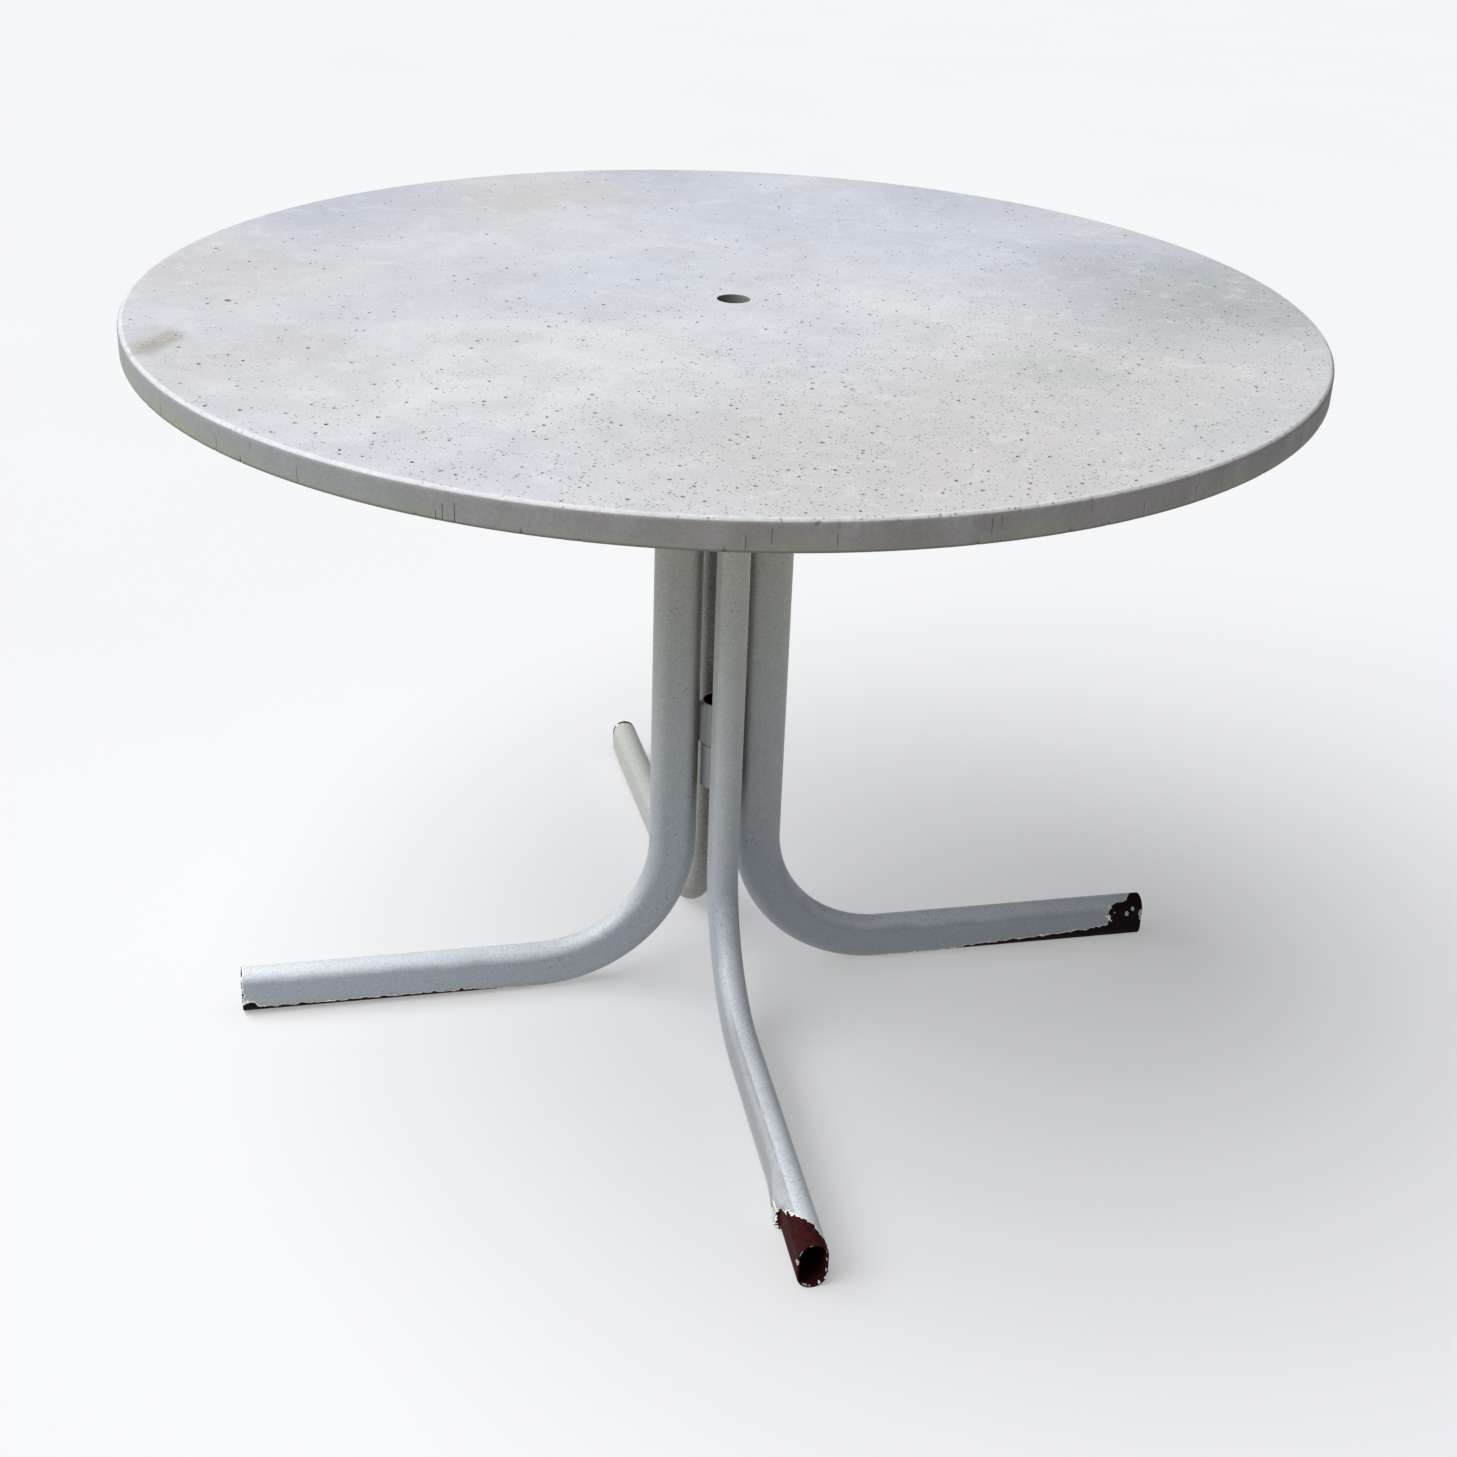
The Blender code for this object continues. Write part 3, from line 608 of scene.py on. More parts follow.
# %% Mix the steel under it, and cut one from the other
ragged = paint_finish.noise(480.0, 3.0, 0.65) - 0.5
torn = bare + ragged * 0.50
rust_mask = torn.above(0.50, 0.05)
lip_mask = torn.above(0.29, 0.08) * (1 - rust_mask)
stain = bare.above(0.26, 0.34) * paint_finish.noise(110.0, 3.0).above(0.52, 0.16)
paint = paint_finish.mix(stain * 0.55, paint, (0.30, 0.20, 0.11))
paint = paint_finish.mix(lip_mask * 0.95, paint, (0.95, 0.94, 0.91))
scale_coat = paint_finish.noise(240.0, 5.0, 0.7)
rust = paint_finish.mix(scale_coat.above(0.5, 0.35), (0.016, 0.0040, 0.0040), (0.058, 0.0090, 0.0100))
rust = paint_finish.mix(paint_finish.noise(130.0, 3.0).above(0.66, 0.12) * 0.4, rust, (0.12, 0.045, 0.028))
sideways = paint_finish.axis("X")
# Painted shade: the rust goes near black on the left and right feet.
shaded_side_rust = (sideways * sideways).above(0.12, 0.12)
rust = paint_finish.mix(shaded_side_rust * 0.85, rust, (0.010, 0.0075, 0.0075))
paint_relief = freckle * 0.3 + mottle * 0.5 - speck_mask * 0.4
rust_relief = paint_finish.noise(900.0, 2.0) + scale_coat * 0.6
FRAME_PAINT = paint_finish.done(
    paint, 0.34 + mottle * 0.18 + freckle * 0.08, height=paint_relief, depth=0.22 * MM
)
rust_bump = paint_finish.node(
    "ShaderNodeBump", {}, {"Distance": 0.3 * MM, "Strength": 1.0, "Height": rust_relief}
)
bare_steel = paint_finish.node("ShaderNodeBsdfPrincipled", {}, {
    "Base Color": rust, "Roughness": 0.55 + scale_coat * 0.3, "Specular IOR Level": 0.05, "Normal": rust_bump,
})
sound_paint = Wire(paint_finish, paint_finish.shader.outputs[0])
skin = paint_finish.node("ShaderNodeMixShader", {}, {0: rust_mask, 1: sound_paint, 2: bare_steel})
paint_finish.tree.links.new(skin.socket, paint_finish.tree.nodes["Material Output"].inputs["Surface"])

# %% [markdown]
# ## The bent tubes
# Each leg is one flat-oval tube, bent twice the hard way: out to the foot and out to the arm under the slab.
# A curve with a bevel object would sweep it in two clicks, but it can't say where a point lies along the tube.
# Here the section is carried along stations one by one, closer together near the foot's end,
# so that the paint can stop in a ragged, slightly lifted edge that is really there.

# %% Name the tube's section and path
TUBE_DEEP, TUBE_WIDE, TUBE_WALL = 0.049, 0.0285, 0.0020
COLUMN_RADIUS = 0.0455
FOOT_BEND, ARM_BEND, ARM_REACH = 0.143, 0.095, 0.262
BACK_FOOT_TWIST = math.radians(3.2)
TWIST_FROM = 0.330
ARM_CENTRE = SLAB_UNDERSIDE - 0.3 * MM - TUBE_DEEP / 2
FOOT_CENTRE = TUBE_DEEP / 2
LEG_TURNS = {"right": 0.0, "back": math.pi / 2, "left": math.pi, "front": -math.pi / 2}
BODY_OF = {"right": "fixed_frame", "left": "fixed_frame", "front": "swing_frame", "back": "swing_frame"}
ARC_STEPS, FLAT_STEPS = 26, 13
UP = Vector((0.0, 0.0, 1.0))


def oval(inset):
    """The section as (deep, across, outward deep, outward across) round the tube."""
    radius, flat = TUBE_WIDE / 2 - inset, (TUBE_DEEP - TUBE_WIDE) / 2
    points = []
    for sign in (1, -1):
        for step in range(ARC_STEPS + 1):
            turn = -math.pi / 2 + math.pi * step / ARC_STEPS
            c, s = sign * math.cos(turn), sign * math.sin(turn)
            points.append((sign * flat + radius * c, radius * s, c, s))
        for step in range(1, FLAT_STEPS):
            slide = flat * (1 - 2 * step / FLAT_STEPS)
            points.append((sign * slide, sign * radius, 0.0, sign * 1.0))
    return points


# %% Lay the stations along a leg, from the foot's end to the arm's end
def leg_stations(twist, fine):
    """(centre, deep direction, cross direction, distance from the foot's end) of each section."""
    along = Vector((math.cos(twist), math.sin(twist), 0.0))
    across = Vector((-math.sin(twist), math.cos(twist), 0.0))
    column = Vector((COLUMN_RADIUS, 0.0, 0.0))
    straight = FOOT_REACH - COLUMN_RADIUS - FOOT_BEND
    stations = []
    gone = [0.0]
    while gone[-1] < straight - 1e-6:
        stride = (1.3 * MM if gone[-1] < 75 * MM else 4.0 * MM) if fine else 12 * MM
        gone.append(min(straight, gone[-1] + stride))
    for d in gone[:-1]:
        stations.append((column + along * (FOOT_REACH - COLUMN_RADIUS - d) + UP * FOOT_CENTRE, UP, across, d))
    steps = 48 if fine else 24
    for step in range(steps + 1):
        turn = math.pi / 2 * (1 - step / steps)
        centre = along * (FOOT_BEND * (1 - math.cos(turn))) + UP * (FOOT_BEND * (1 - math.sin(turn)))
        deep = along * math.cos(turn) + UP * math.sin(turn)
        stations.append(
            (column + centre + UP * FOOT_CENTRE, deep, across, straight + FOOT_BEND * (math.pi / 2 - turn))
        )
    covered = straight + FOOT_BEND * math.pi / 2
    low, high = FOOT_BEND + FOOT_CENTRE, ARM_CENTRE - ARM_BEND
    steps = 52 if fine else 12
    for step in range(1, steps):
        z = low + (high - low) * step / steps
        eased = twist * max(0.0, min(1.0, (TWIST_FROM - z) / (TWIST_FROM - low)))
        along_here = Vector((math.cos(eased), math.sin(eased), 0.0))
        across_here = Vector((-math.sin(eased), math.cos(eased), 0.0))
        stations.append((column + UP * z, along_here, across_here, covered + z - low))
    covered += high - low
    along, across = Vector((1.0, 0.0, 0.0)), Vector((0.0, 1.0, 0.0))
    steps = 26 if fine else 16
    for step in range(steps + 1):
        turn = math.pi / 2 * step / steps
        centre = along * (ARM_BEND * (1 - math.cos(turn))) - UP * (ARM_BEND * (1 - math.sin(turn)))
        deep = along * math.cos(turn) - UP * math.sin(turn)
        stations.append((column + centre + UP * ARM_CENTRE, deep, across, covered + ARM_BEND * turn))
    covered += ARM_BEND * math.pi / 2
    reach = ARM_REACH - COLUMN_RADIUS - ARM_BEND
    for step in range(1, 9):
        x = COLUMN_RADIUS + ARM_BEND + reach * step / 8
        stations.append((along * x + UP * ARM_CENTRE, -UP, across, covered + reach * step / 8))
    return stations


# %% Say how bare each foot is, from its end, its height above the ground and its side
FOOT_WEAR = {
    # gone: how far the paint has gone from the end, and lean: how much further on the -b side.
    # low and rise: how high the bare strip along the ground reaches far from the end and at it; until: where it stops
    "right": {
        "seed": 1.0, "gone": 37 * MM, "lean": 2 * MM, "ripple": 6 * MM, "low": 9.5 * MM, "rise": 20 * MM,
        "until": 0.225
    },
    "front": {
        "seed": 4.0, "gone": 30 * MM, "lean": 22 * MM, "ripple": 5 * MM, "low": 1.0 * MM, "rise": 12 * MM,
        "until": 0.130
    },
    "left": {
        "seed": 3.0, "gone": 0.5 * MM, "lean": 0.0, "ripple": 2 * MM, "low": 8.6 * MM, "rise": 2 * MM,
        "until": 0.280
    },
    "back": {
        "seed": 2.0, "gone": 4.0 * MM, "lean": 1 * MM, "ripple": 4 * MM, "low": 4.0 * MM, "rise": 4 * MM,
        "until": 0.150
    },
}
FLECKS = {  # spots of paint left on the steel (+) or of steel seen through the paint (-): along, up, side, size
    "right": [
        (18, 34, -1, 2.4, 1), (11.5, 38.5, -1, 1.7, 1), (1.0, 33, -1, 3.2, 1), (1.0, 26, -1, 2.2, 1),
        (60, 16, -1, 1.3, -1)
    ],
    "front": [
        (77, 31, -1, 2.6, -1), (82, 24, -1, 2.0, -1), (84, 15, -1, 2.4, -1), (1.0, 12, 1, 3.5, 1),
        (0.8, 30, -1, 2.0, 1)
    ],
    "left": [
        (6, 5, 1, 8.5, -1), (12, 12, 1, 2.6, -1), (49, 3, 1, 3.2, -1), (92, 3.5, 1, 4.5, -1),
        (120, 3, 1, 4.0, -1)
    ],
    "back": [(3, 40, 1, 3.0, -1), (5, 14, -1, 3.5, -1)],
}


def smooth(low, high, value):
    share = max(0.0, min(1.0, (value - low) / (high - low)))
    return share * share * (3 - 2 * share)


def wobble(seed, d, a, b, per_metre):
    return noise.fractal(
        Vector((d * per_metre + seed * 7.3, a * per_metre, b * per_metre + seed)), 0.8, 2.1, 4
    )


def bareness(side, d, a, b):
    """0 is sound paint and 1 is bare steel. The paint's edge is at a half."""
    wear = FOOT_WEAR[side]
    up = a + TUBE_DEEP / 2
    coarse = wobble(wear["seed"], d, a, b, 75.0)
    fine = wobble(wear["seed"] + 5, d, a, b, 190.0)
    ripple = 0.8 * coarse + 0.9 * fine
    gone = wear["gone"] - wear["lean"] * b / (TUBE_WIDE / 2) + wear["ripple"] * ripple
    if side == "front":
        gone += 20 * MM * smooth(-7 * MM, -13 * MM, b) * smooth(16 * MM, 6 * MM, a)
    if side == "right":
        gone -= 24 * MM * max(0.0, min(1.0, (up - 0.0445) / (3 * MM)))
    end = (gone - d) / (7 * MM)
    level = wear["low"] + wear["rise"] * math.exp(-d / 0.070) + 2.2 * MM * ripple
    level -= 6 * MM * smooth(wear["until"] - 0.05, wear["until"] + 0.02, d)
    strip = (level - up) / (4.4 * MM)
    value = 0.5 + max(end, strip)
    for along, height, flank, size, kind in FLECKS[side]:
        if b * flank >= -2 * MM:
            away = math.hypot(d - along * MM, (up - height * MM) * 0.8) / (size * MM) + 0.35 * fine
            value = max(value, 1.5 - away) if kind < 0 else min(value, away - 0.5)
    return max(0.0, min(1.0, value))


def grime_and_shade(side, d, a, b, z):
    """1 where the paint is darkened: painted shade with some grime on the faces that look at the other legs and on
    the back leg's foot bend, and a run line of dirt on the front foot.
    """
    darkened = smooth(0.17, 0.25, z) * smooth(-14 * MM, -20 * MM, a)
    if side == "back":
        darkened = max(darkened, 0.80 * smooth(0.30, 0.42, d) * smooth(15 * MM, 3 * MM, a))
    if side == "front" and a > -6 * MM:
        run = b + 8.2 * MM + 1.6 * MM * wobble(2.0, d, 0.0, 0.0, 16.0)
        near = smooth(0.42, 0.30, d)
        darkened = max(
            darkened, 0.44 * near * smooth(0.6 * MM, -1.0 * MM, run),
            0.62 * near * smooth(1.1 * MM, 0.2 * MM, abs(run))
        )
    return darkened


# %% Sweep the tube, sink the bare steel below the paint and lift the paint's edge
PAINT_FILM = 0.28 * MM


def make_leg(side):
    twist = BACK_FOOT_TWIST if side == "back" else 0.0
    turn = Matrix.Rotation(LEG_TURNS[side], 3, "Z")
    shell = Shell()
    ends = []
    for inset, fine in ((0.0, True), (TUBE_WALL, False)):
        outline = oval(inset)
        rings = []
        for centre, deep, across, d in leg_stations(twist, fine):
            points, told = [], []
            for a, b, na, nb in outline:
                depth, how_bare = 0.0, 1.0
                if fine:
                    how_bare = bareness(side, d, a, b) if d < 0.30 else 0.0
                    depth = PAINT_FILM * max(0.0, min(1.0, (how_bare - 0.4) / 0.25))
                    if how_bare > 0.6:
                        depth += 0.10 * MM * wobble(9.0, d, a, b, 300.0)
                    elif how_bare > 0.12:
                        lift = max(0.0, 0.35 + wobble(5.0, d, a, b, 130.0))
                        depth -= 0.8 * MM * lift * (1 - abs(how_bare - 0.36) / 0.24)
                    if side == "front" and how_bare < 0.5 and b < -5 * MM:
                        flap = smooth(58 * MM, 70 * MM, d) * smooth(128 * MM, 78 * MM, d)
                        flap *= 0.75 + 0.5 * wobble(3.0, d, a, b, 110.0)
                        depth -= 5.0 * MM * flap * smooth(-7 * MM, -13.5 * MM, b) * smooth(
                            2 * MM, 10 * MM, a + TUBE_DEEP / 2
                        ) * smooth(20 * MM, 8 * MM, a)
                elif d < 1 * MM:
                    how_bare = 0.55 + 0.35 * wobble(6.0, d, a, b, 220.0)
                deep_by, across_by = a - na * depth, b - nb * depth
                points.append(turn @ (centre + deep * deep_by + across * across_by))
                told.append((how_bare, grime_and_shade(side, d, a, b, centre.z)))
            ring = shell.ring(points)
            for index, (value, dirt_shade) in zip(ring, told):
                shell.tell("bare", index, value)
                shell.tell("dirt_and_shade", index, dirt_shade)
            rings.append(ring)
        for ring, following in zip(rings, rings[1:]):
            shell.bridge(ring, following)
        ends.append((rings[0], rings[-1]))
    shell.bridge(ends[0][0], ends[1][0])
    shell.bridge(ends[0][1], ends[1][1])
    return make_piece(f"tube_{side}", shell, FRAME_PAINT, BODY_OF[side], f"leg_{side}", 40.0)


for side in LEG_TURNS:
    make_leg(side)

# %% [markdown]
# ## The hinge knuckles
# Each pair of knuckles is two short tubes stacked on the table's axis, one welded to each frame.
# A Boolean union of tubes and fillets gives hard creases, which paint over a weld never shows.
# Here the knuckle is turned on a lathe whose radius swells towards its own two legs,
# with the weld's ripples in it, so that the paint runs from tube to knuckle as one skin.

# %% Name the knuckles' sizes and draw their lathe profile
KNUCKLE_RADIUS, KNUCKLE_WALL, KNUCKLE_LENGTH, KNUCKLE_SPLIT = 0.0180, 0.0015, 0.0475, 0.0012
LOWER_PAIR_BASE, UPPER_PAIR_BASE = 0.2330, 0.5060
WELD_INNER, WELD_OUTER = math.radians(13), math.radians(36)
FLANK_CENTRE = COLUMN_RADIUS - (TUBE_DEEP - TUBE_WIDE) / 2


def knuckle_profile(base):
    """(radius, height, 1 on the outer wall, how bare) round the wall's section."""
    inner, outer, top = KNUCKLE_RADIUS - KNUCKLE_WALL, KNUCKLE_RADIUS, base + KNUCKLE_LENGTH
    lip = 0.4 * MM
    rise = [base + lip * 1.5 + (KNUCKLE_LENGTH - 3 * lip) * i / 36 for i in range(37)]
    profile = [
        (inner, base + 4 * MM, 0, 1.0), (inner, base + lip, 0, 0.7), (inner + lip * 0.4, base, 0, 0.0),
        (outer - lip, base, 0, 0.0)
    ]
    profile += [(outer - lip * 0.3, base + lip * 0.3, 0, 0.0)] + [(outer, z, 1, 0.0) for z in rise]
    profile += [
        (outer - lip * 0.3, top - lip * 0.3, 0, 0.0), (outer - lip, top, 0, 0.0),
        (inner + lip * 0.4, top, 0, 0.0)
    ]
    return profile + [
        (inner, top - lip, 0, 0.7), (inner, top - 4 * MM, 0, 1.0), (inner, base + KNUCKLE_LENGTH / 2, 0, 1.0)
    ]


# %% Turn a knuckle, swollen into a weld towards its own legs
def weld_swell(gap, z, base):
    """How far the weld stands out from the knuckle at this angle from the leg."""
    rise = smooth(WELD_OUTER, WELD_INNER, gap)
    ends = smooth(0.0, 2.5 * MM, z - base - 0.8 * MM) * smooth(
        0.0, 2.5 * MM, base + KNUCKLE_LENGTH - 0.8 * MM - z
    )
    ripple = 0.16 * MM * math.sin((z - base + 0.9 * MM * math.cos(gap * 9)) * 2 * math.pi / (2.8 * MM))
    reach = min(
        FLANK_CENTRE * math.cos(gap) - TUBE_WIDE / 2, 5 * MM + KNUCKLE_RADIUS
    ) - KNUCKLE_RADIUS + 0.9 * MM
    return ends * rise * (reach + ripple * 4 * rise * (1 - rise))


def make_knuckle(name, base, sides, body):
    shell = Shell()
    bearings = [LEG_TURNS[side] for side in sides]
    turns = [2 * math.pi * (i + 0.5) / 120 for i in range(120)]
    rings = []
    for radius, z, outside, how_bare in knuckle_profile(base):
        points = []
        for turn in turns:
            gap = min(angle_between(turn, bearing) for bearing in bearings)
            wide = radius + (weld_swell(gap, z, base) if outside else 0.0)
            points.append((wide * math.cos(turn), wide * math.sin(turn), z))
        rings.append(shell.ring(points))
        for index in rings[-1]:
            shell.tell("bare", index, how_bare)
            # The knuckles sit between the legs under the slab: grime with painted shade.
            shell.tell("dirt_and_shade", index, 0.40)
    for ring, following in zip(rings, rings[1:] + rings[:1]):
        shell.bridge(ring, following)
    return make_piece(name + "_skin", shell, FRAME_PAINT, body, name, 50.0)


for frame_name, sides, rise in (
    ("fixed", ("left", "right"), KNUCKLE_LENGTH + KNUCKLE_SPLIT), ("swing", ("front", "back"), 0.0)
):
    make_knuckle(f"{frame_name}_knuckle_lower", LOWER_PAIR_BASE + rise, sides, frame_name + "_frame")
    make_knuckle(f"{frame_name}_knuckle_upper", UPPER_PAIR_BASE + rise, sides, frame_name + "_frame")

# %% [markdown]
# ## Simple finishes for the small parts
# Zinc plating is grey and blotchy, brass has dulled, and the moulded plastics are matte with a fine grain.
# Each could be one flat colour at this size, but a little mottling and bump stops it from looking like wax.

# %% Mix the small parts' finishes
def small_finish(name, dark, light, per_metre, roughness, metallic, grain_depth):
    finish = Finish(name, metallic=metallic)
    blotch = finish.noise(per_metre, 4.0, 0.6)
    tarnish = finish.noise(per_metre * 4, 3.0)
    colour = finish.mix(blotch.above(0.5, 0.4), dark, light)
    colour = finish.mix(tarnish.above(0.62, 0.12) * 0.4, colour, tuple(0.5 * c for c in dark))
    relief = finish.noise(1800.0, 2.0)
    return finish.done(colour, roughness + blotch * 0.2, height=relief, depth=grain_depth)


ZINC = small_finish("zinc_steel", (0.34, 0.34, 0.34), (0.55, 0.54, 0.52), 180.0, 0.30, 0.9, 0.05 * MM)
BRASS = small_finish("insert_brass", (0.42, 0.30, 0.12), (0.62, 0.47, 0.22), 160.0, 0.28, 0.9, 0.04 * MM)
KNOB_BLACK = small_finish(
    "knob_plastic", (0.035, 0.035, 0.038), (0.060, 0.060, 0.062), 120.0, 0.45, 0.0, 0.08 * MM
)
NYLON = small_finish("bush_nylon", (0.055, 0.055, 0.055), (0.11, 0.11, 0.105), 140.0, 0.40, 0.0, 0.05 * MM)

# %% [markdown]
# ## Screws, washers and knobs
# These are turned or moulded round one line, so each is a stack of rings about its own axis.
# A screw modifier would cut a thread too, but it leaves an open end and no room for a hexagon.
# Here the ring's radius is a rule of angle and height: a helix for the thread, six flats for the head,
# six lobes for the knob.

# %% Write the rule for each shape
PLATE, THREAD_RADIUS, THREAD_PITCH, SCREW_TIP = 0.0030, 0.0037, 0.00125, 0.7352
FLANGE_UNDERSIDE = ARM_CENTRE + TUBE_DEEP / 2 - PLATE
WASHER_TOP = FLANGE_UNDERSIDE - 0.3 * MM
WASHER_LOW = WASHER_TOP - 1.6 * MM
SEAT = WASHER_LOW - 0.3 * MM
HEAD_LOW, KNOB_LOW = SEAT - 5.3 * MM, SEAT - 17.0 * MM
STUD_LOW = SEAT - 13.0 * MM
FLATS = 0.0065


def threaded(angle, radius, z):
    wave = (z / THREAD_PITCH - angle / (2 * math.pi)) % 1.0
    return radius - 0.62 * MM * (1 - min(1.0, 2.6 * min(wave, 1 - wave)))


def six_flats(angle, radius, z):
    return min(radius, FLATS / math.cos(angle % (math.pi / 3) - math.pi / 6))


def six_lobes(angle, radius, z):
    return radius * (1 + 0.10 * math.cos(6 * angle))


def plain(angle, radius, z):
    return radius


def turned(name, side, rows, count, closed, material, body):
    """Each row is a radius, a height and the rule that its ring follows."""
    shell = Shell()
    centre = Vector((math.cos(LEG_TURNS[side]), math.sin(LEG_TURNS[side]), 0.0)) * SCREW_REACH
    rings = []
    for radius, z, rule in rows:
        angles = [2 * math.pi * step / count for step in range(count)]
        rings.append(shell.ring([centre + Vector(
            (rule(t, radius, z) * math.cos(t), rule(t, radius, z) * math.sin(t), z)
        ) for t in angles]))
    for ring, following in zip(rings, rings[1:] + (rings[:1] if closed else [])):
        shell.bridge(ring, following)
    if not closed:
        shell.cap(rings[0])
        shell.cap(rings[-1])
    return make_piece(f"{name}_{side}_made", shell, material, body, f"{name}_{side}", 32.0)


def thread_rows(low, high):
    steps = round((high - low) / (0.16 * MM))
    return [(THREAD_RADIUS, low + (high - low) * i / steps, threaded) for i in range(steps + 1)]


# %% Turn the bolts, studs, washers and knobs
BORE = THREAD_RADIUS + 0.6 * MM
washer_rows = [
    (BORE, WASHER_LOW + 0.2 * MM, plain), (BORE + 0.2 * MM, WASHER_LOW, plain), (0.0101, WASHER_LOW, plain),
    (0.0104, WASHER_LOW + 0.15 * MM, plain), (0.0105, WASHER_LOW + 0.5 * MM, plain),
    (0.0105, WASHER_TOP - 0.3 * MM, plain),
    (0.0103, WASHER_TOP, plain), (BORE + 0.2 * MM, WASHER_TOP, plain), (BORE, WASHER_TOP - 0.2 * MM, plain),
]
bolt_rows = [
    (0.0036, HEAD_LOW + 0.25 * MM, plain), (0.0045, HEAD_LOW, plain), (0.0061, HEAD_LOW, six_flats),
    (0.0067, HEAD_LOW + 0.35 * MM, six_flats),
    (0.0073, HEAD_LOW + 0.9 * MM, six_flats), (0.0076, HEAD_LOW + 1.5 * MM, six_flats),
    (0.0076, SEAT - 0.4 * MM, six_flats),
    (0.0072, SEAT, six_flats), (THREAD_RADIUS, SEAT, plain),
] + thread_rows(SEAT + 0.3 * MM, SCREW_TIP - 0.6 * MM) + [(THREAD_RADIUS - 0.8 * MM, SCREW_TIP, plain)]
stud_rows = [
    (THREAD_RADIUS - 0.6 * MM, STUD_LOW, plain), *thread_rows(STUD_LOW + 0.4 * MM, SCREW_TIP - 0.6 * MM),
    (THREAD_RADIUS - 0.8 * MM, SCREW_TIP, plain),
]
knob_rows = [
    (0.0040, KNOB_LOW + 0.9 * MM, plain), (0.0085, KNOB_LOW + 0.5 * MM, plain), (0.0112, KNOB_LOW, six_lobes),
    (0.0132, KNOB_LOW + 0.3 * MM, six_lobes),
    (0.0144, KNOB_LOW + 1.1 * MM, six_lobes), (0.0150, KNOB_LOW + 2.6 * MM, six_lobes),
    (0.0150, SEAT - 6.6 * MM, six_lobes),
    (0.0146, SEAT - 5.0 * MM, six_lobes), (0.0136, SEAT - 3.9 * MM, six_lobes),
    (0.0120, SEAT - 3.2 * MM, six_lobes),
    (0.0092, SEAT - 2.8 * MM, plain), (0.0085, SEAT - 2.2 * MM, plain), (0.0083, SEAT - 0.5 * MM, plain),
    (0.0078, SEAT, plain),
    (THREAD_RADIUS + 0.3 * MM, SEAT, plain), (THREAD_RADIUS + 0.3 * MM, STUD_LOW - 0.3 * MM, plain),
]
for side in ("left", "right"):
    turned("bolt", side, bolt_rows, 48, False, ZINC, "fixed_frame")
    turned("washer", side, washer_rows, 48, True, ZINC, "fixed_frame")
for side in ("front", "back"):
    turned("stud", side, stud_rows, 36, False, ZINC, f"thumb_screw_{side}")
    turned("washer", side, washer_rows, 48, True, ZINC, f"thumb_screw_{side}")
    turned("knob", side, knob_rows, 72, False, KNOB_BLACK, f"thumb_screw_{side}")

# %% [markdown]
# ## The weld beads, brackets and bushes
# A bead runs round the arm's end where the bracket closes it: a lumpy torus that follows the oval.
# The bent strips, brass inserts and nylon bushes are right as they are, apart from their razor edges,
# which a small bevel takes off.

# %% Lay a rippled bead round each arm's end
def make_bead(side):
    shell = Shell()
    turn = Matrix.Rotation(LEG_TURNS[side], 3, "Z")
    rings = []
    for step in range(8):
        around = 2 * math.pi * step / 8
        points = []
        for index, (a, b, na, nb) in enumerate(oval(0.0)):
            run = index * 1.65 * MM
            size = (1.5 + 0.22 * math.sin(run * 2 * math.pi / (3.1 * MM)) + 0.25 * wobble(
                8.0, run, 0.0, LEG_TURNS[side], 60.0
            )) * MM
            out = size * math.sin(around) - 0.2 * MM
            points.append(turn @ Vector((
                ARM_REACH - 0.5 * MM + size * math.cos(around) * 0.8, b + nb * out,
                min(ARM_CENTRE + TUBE_DEEP / 2, ARM_CENTRE + a + na * out)
            )))
        rings.append(shell.ring(points))
    for ring, following in zip(rings, rings[1:] + rings[:1]):
        shell.bridge(ring, following)
    return make_piece(f"bead_{side}", shell, FRAME_PAINT, BODY_OF[side], None, 60.0)


for side in LEG_TURNS:
    make_bead(side)

# %% Finish what is carried over as it is, and take off its razor edges
CARRIED = {"bracket": (FRAME_PAINT, 0.7 * MM), "insert": (BRASS, 0.15 * MM), "hinge": (NYLON, 0.25 * MM)}
for name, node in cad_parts.items():
    kind = name.split("_")[0]
    finish, width = CARRIED.get(kind, (FRAME_PAINT, None))
    for material_slot in node.material_slots:
        material_slot.material = finish
    if width:
        soften = node.modifiers.new("soft_edges", "BEVEL")
        soften.width, soften.segments, soften.limit_method, soften.angle_limit = width, 3, "ANGLE", math.radians(35)
        node.data.shade_smooth()
        node.data.set_sharp_from_angle(angle=math.radians(60))

# %% [markdown]
# ## The room
# The table stands on a plain pale floor under a wide soft light from above and a little from the left,
# like an overcast sky. The floor also glows a little, so that it stays pale where the table shades it.
# The camera stands where a person would, looking down a little.

# %% Lay the floor
floor_finish = Finish("floor_plain", roughness=0.85, specular=0.2)
floor_tone = floor_finish.mix(floor_finish.noise(1.5, 2.0), (0.42, 0.42, 0.425), (0.44, 0.44, 0.445))
FLOOR_PALE = floor_finish.done(floor_tone)
floor_finish.shader.inputs["Emission Color"].default_value = (1.0, 1.0, 1.0, 1.0)
floor_finish.shader.inputs["Emission Strength"].default_value = 0.35
FLOOR_REACH = 16.0
floor_mesh = bpy.data.meshes.new("floor")
builder = bmesh.new()
bmesh.ops.create_grid(builder, x_segments=8, y_segments=8, size=FLOOR_REACH)
builder.to_mesh(floor_mesh)
builder.free()
floor_mesh.materials.append(FLOOR_PALE)
floor = bpy.data.objects.new("floor", floor_mesh)
bpy.context.scene.collection.objects.link(floor)

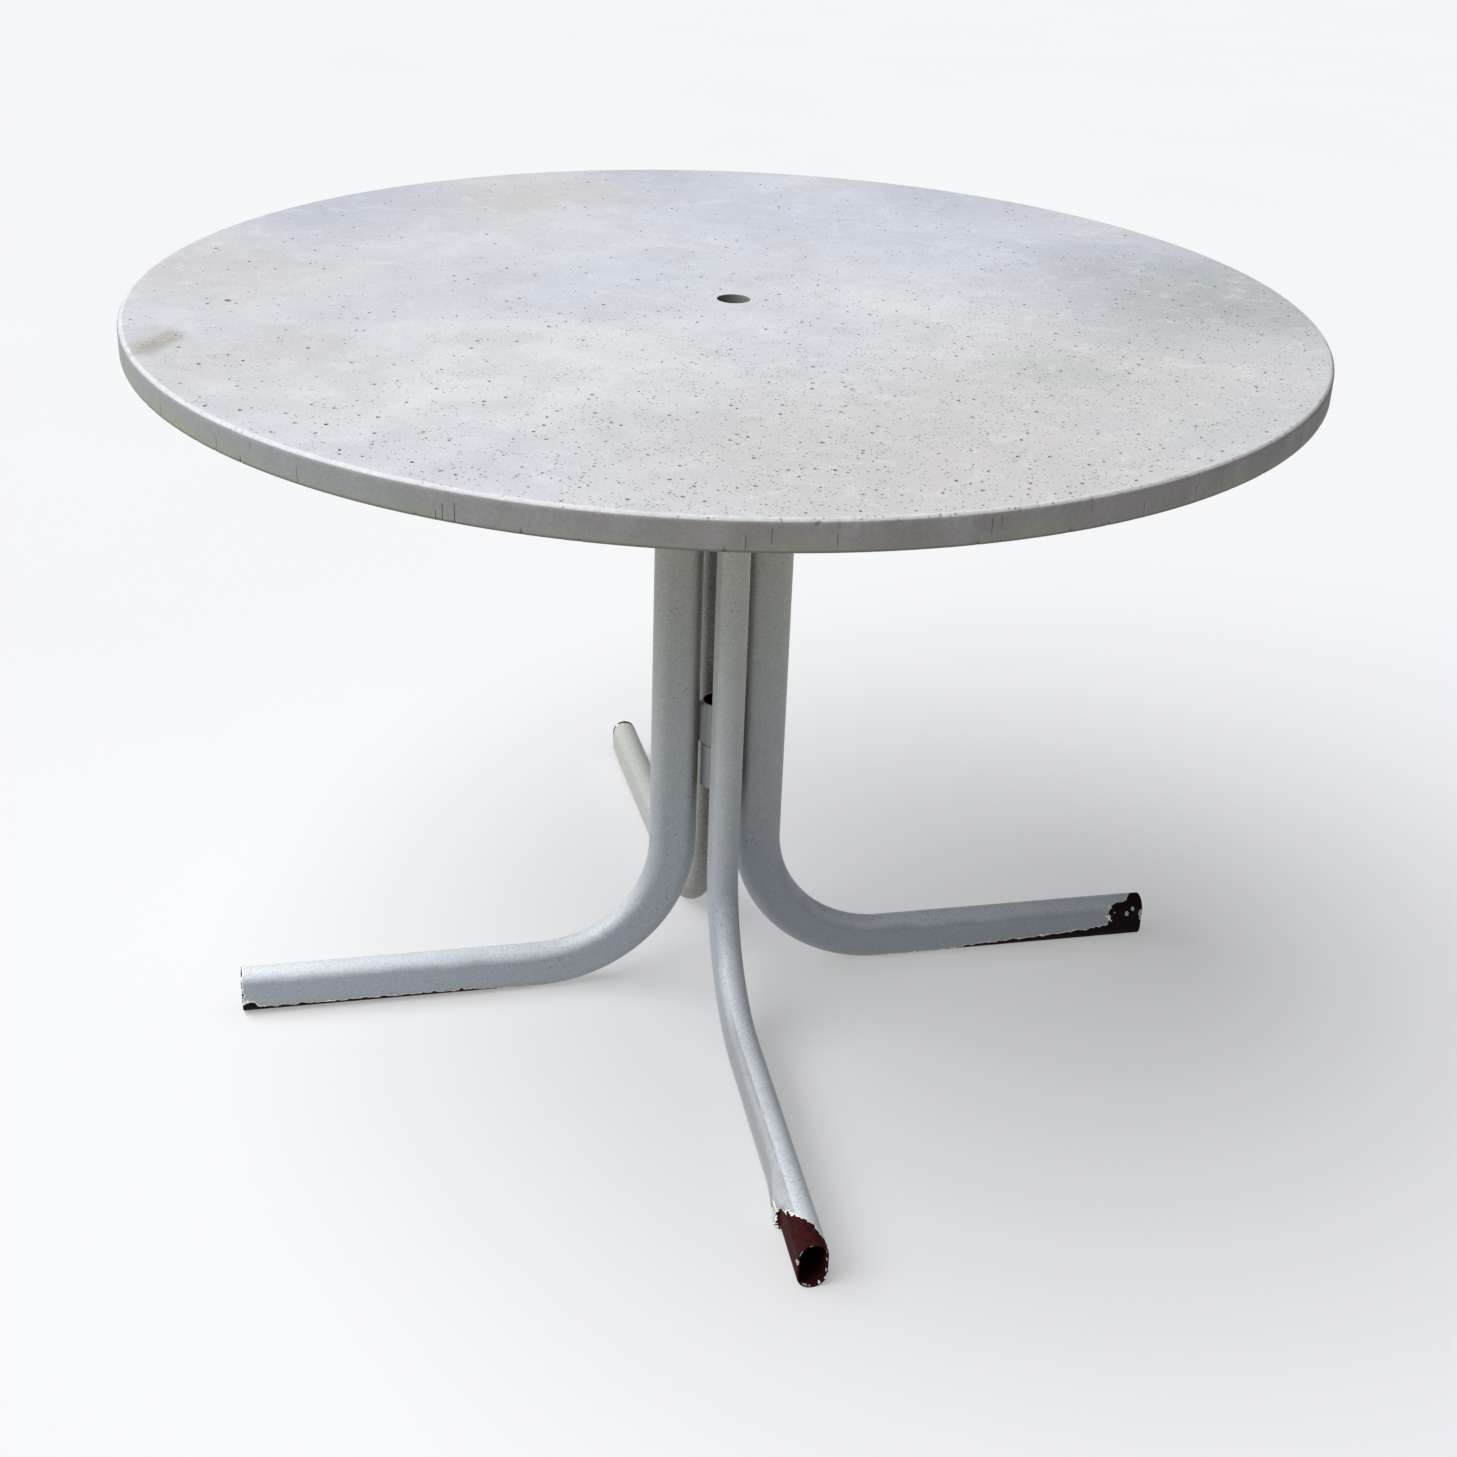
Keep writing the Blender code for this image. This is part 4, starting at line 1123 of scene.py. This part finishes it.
# %% Light it softly
def soft_sun(name, bearing, height, spread, power, colour):
    """A sun as wide as a patch of cloud. Bearing is the side that it shines from, clockwise from the back."""
    light = bpy.data.lights.new(name, "SUN")
    light.energy, light.angle, light.color = power, math.radians(spread), colour
    lamp = bpy.data.objects.new(name, light)
    turn, rise = math.radians(bearing), math.radians(height)
    toward = Vector((math.sin(turn) * math.cos(rise), math.cos(turn) * math.cos(rise), math.sin(rise)))
    lamp.rotation_mode = "QUATERNION"
    lamp.rotation_quaternion = toward.to_track_quat("Z", "Y")
    bpy.context.scene.collection.objects.link(lamp)


soft_sun("high_cloud", -88.0, 58.0, 66.0, 4.6, (0.985, 0.99, 1.0))
soft_sun("left_cloud", -112.0, 25.0, 60.0, 0.10, (0.98, 0.99, 1.0))
world = bpy.data.worlds.new("overcast")
world.use_nodes = True
world.node_tree.nodes["Background"].inputs["Color"].default_value = (0.82, 0.89, 1.0, 1.0)
world.node_tree.nodes["Background"].inputs["Strength"].default_value = 0.11
bpy.context.scene.world = world
bpy.context.scene.view_settings.view_transform = "Standard"

# %% Set up the camera
CAMERA_DISTANCE, CAMERA_HEIGHT = 1.8384, 1.2681
CAMERA_BEARING = 0.2011
CAMERA_HEADING = CAMERA_BEARING + 0.0375
CAMERA_DIP, CAMERA_ROLL = 0.4364, -0.0508
LENS_MM, SHIFT_X, SHIFT_Y = 49.76, -0.0426, -0.0676
view_camera = bpy.data.cameras.new("view")
view_camera.lens, view_camera.sensor_width = LENS_MM, 36.0
view_camera.shift_x, view_camera.shift_y = SHIFT_X, SHIFT_Y
camera = bpy.data.objects.new("view", view_camera)
forward = Vector((
    math.sin(CAMERA_HEADING) * math.cos(CAMERA_DIP), math.cos(CAMERA_HEADING) * math.cos(CAMERA_DIP),
    -math.sin(CAMERA_DIP)
))
level_right = Vector((math.cos(CAMERA_HEADING), -math.sin(CAMERA_HEADING), 0.0))
level_down = forward.cross(level_right)
right = level_right * math.cos(CAMERA_ROLL) + level_down * math.sin(CAMERA_ROLL)
down = level_down * math.cos(CAMERA_ROLL) - level_right * math.sin(CAMERA_ROLL)
camera.matrix_world = Matrix.Translation((
    -CAMERA_DISTANCE * math.sin(CAMERA_BEARING), -CAMERA_DISTANCE * math.cos(CAMERA_BEARING), CAMERA_HEIGHT,
)) @ Matrix((right, -down, -forward)).transposed().to_4x4()
bpy.context.scene.collection.objects.link(camera)
bpy.context.scene.camera = camera
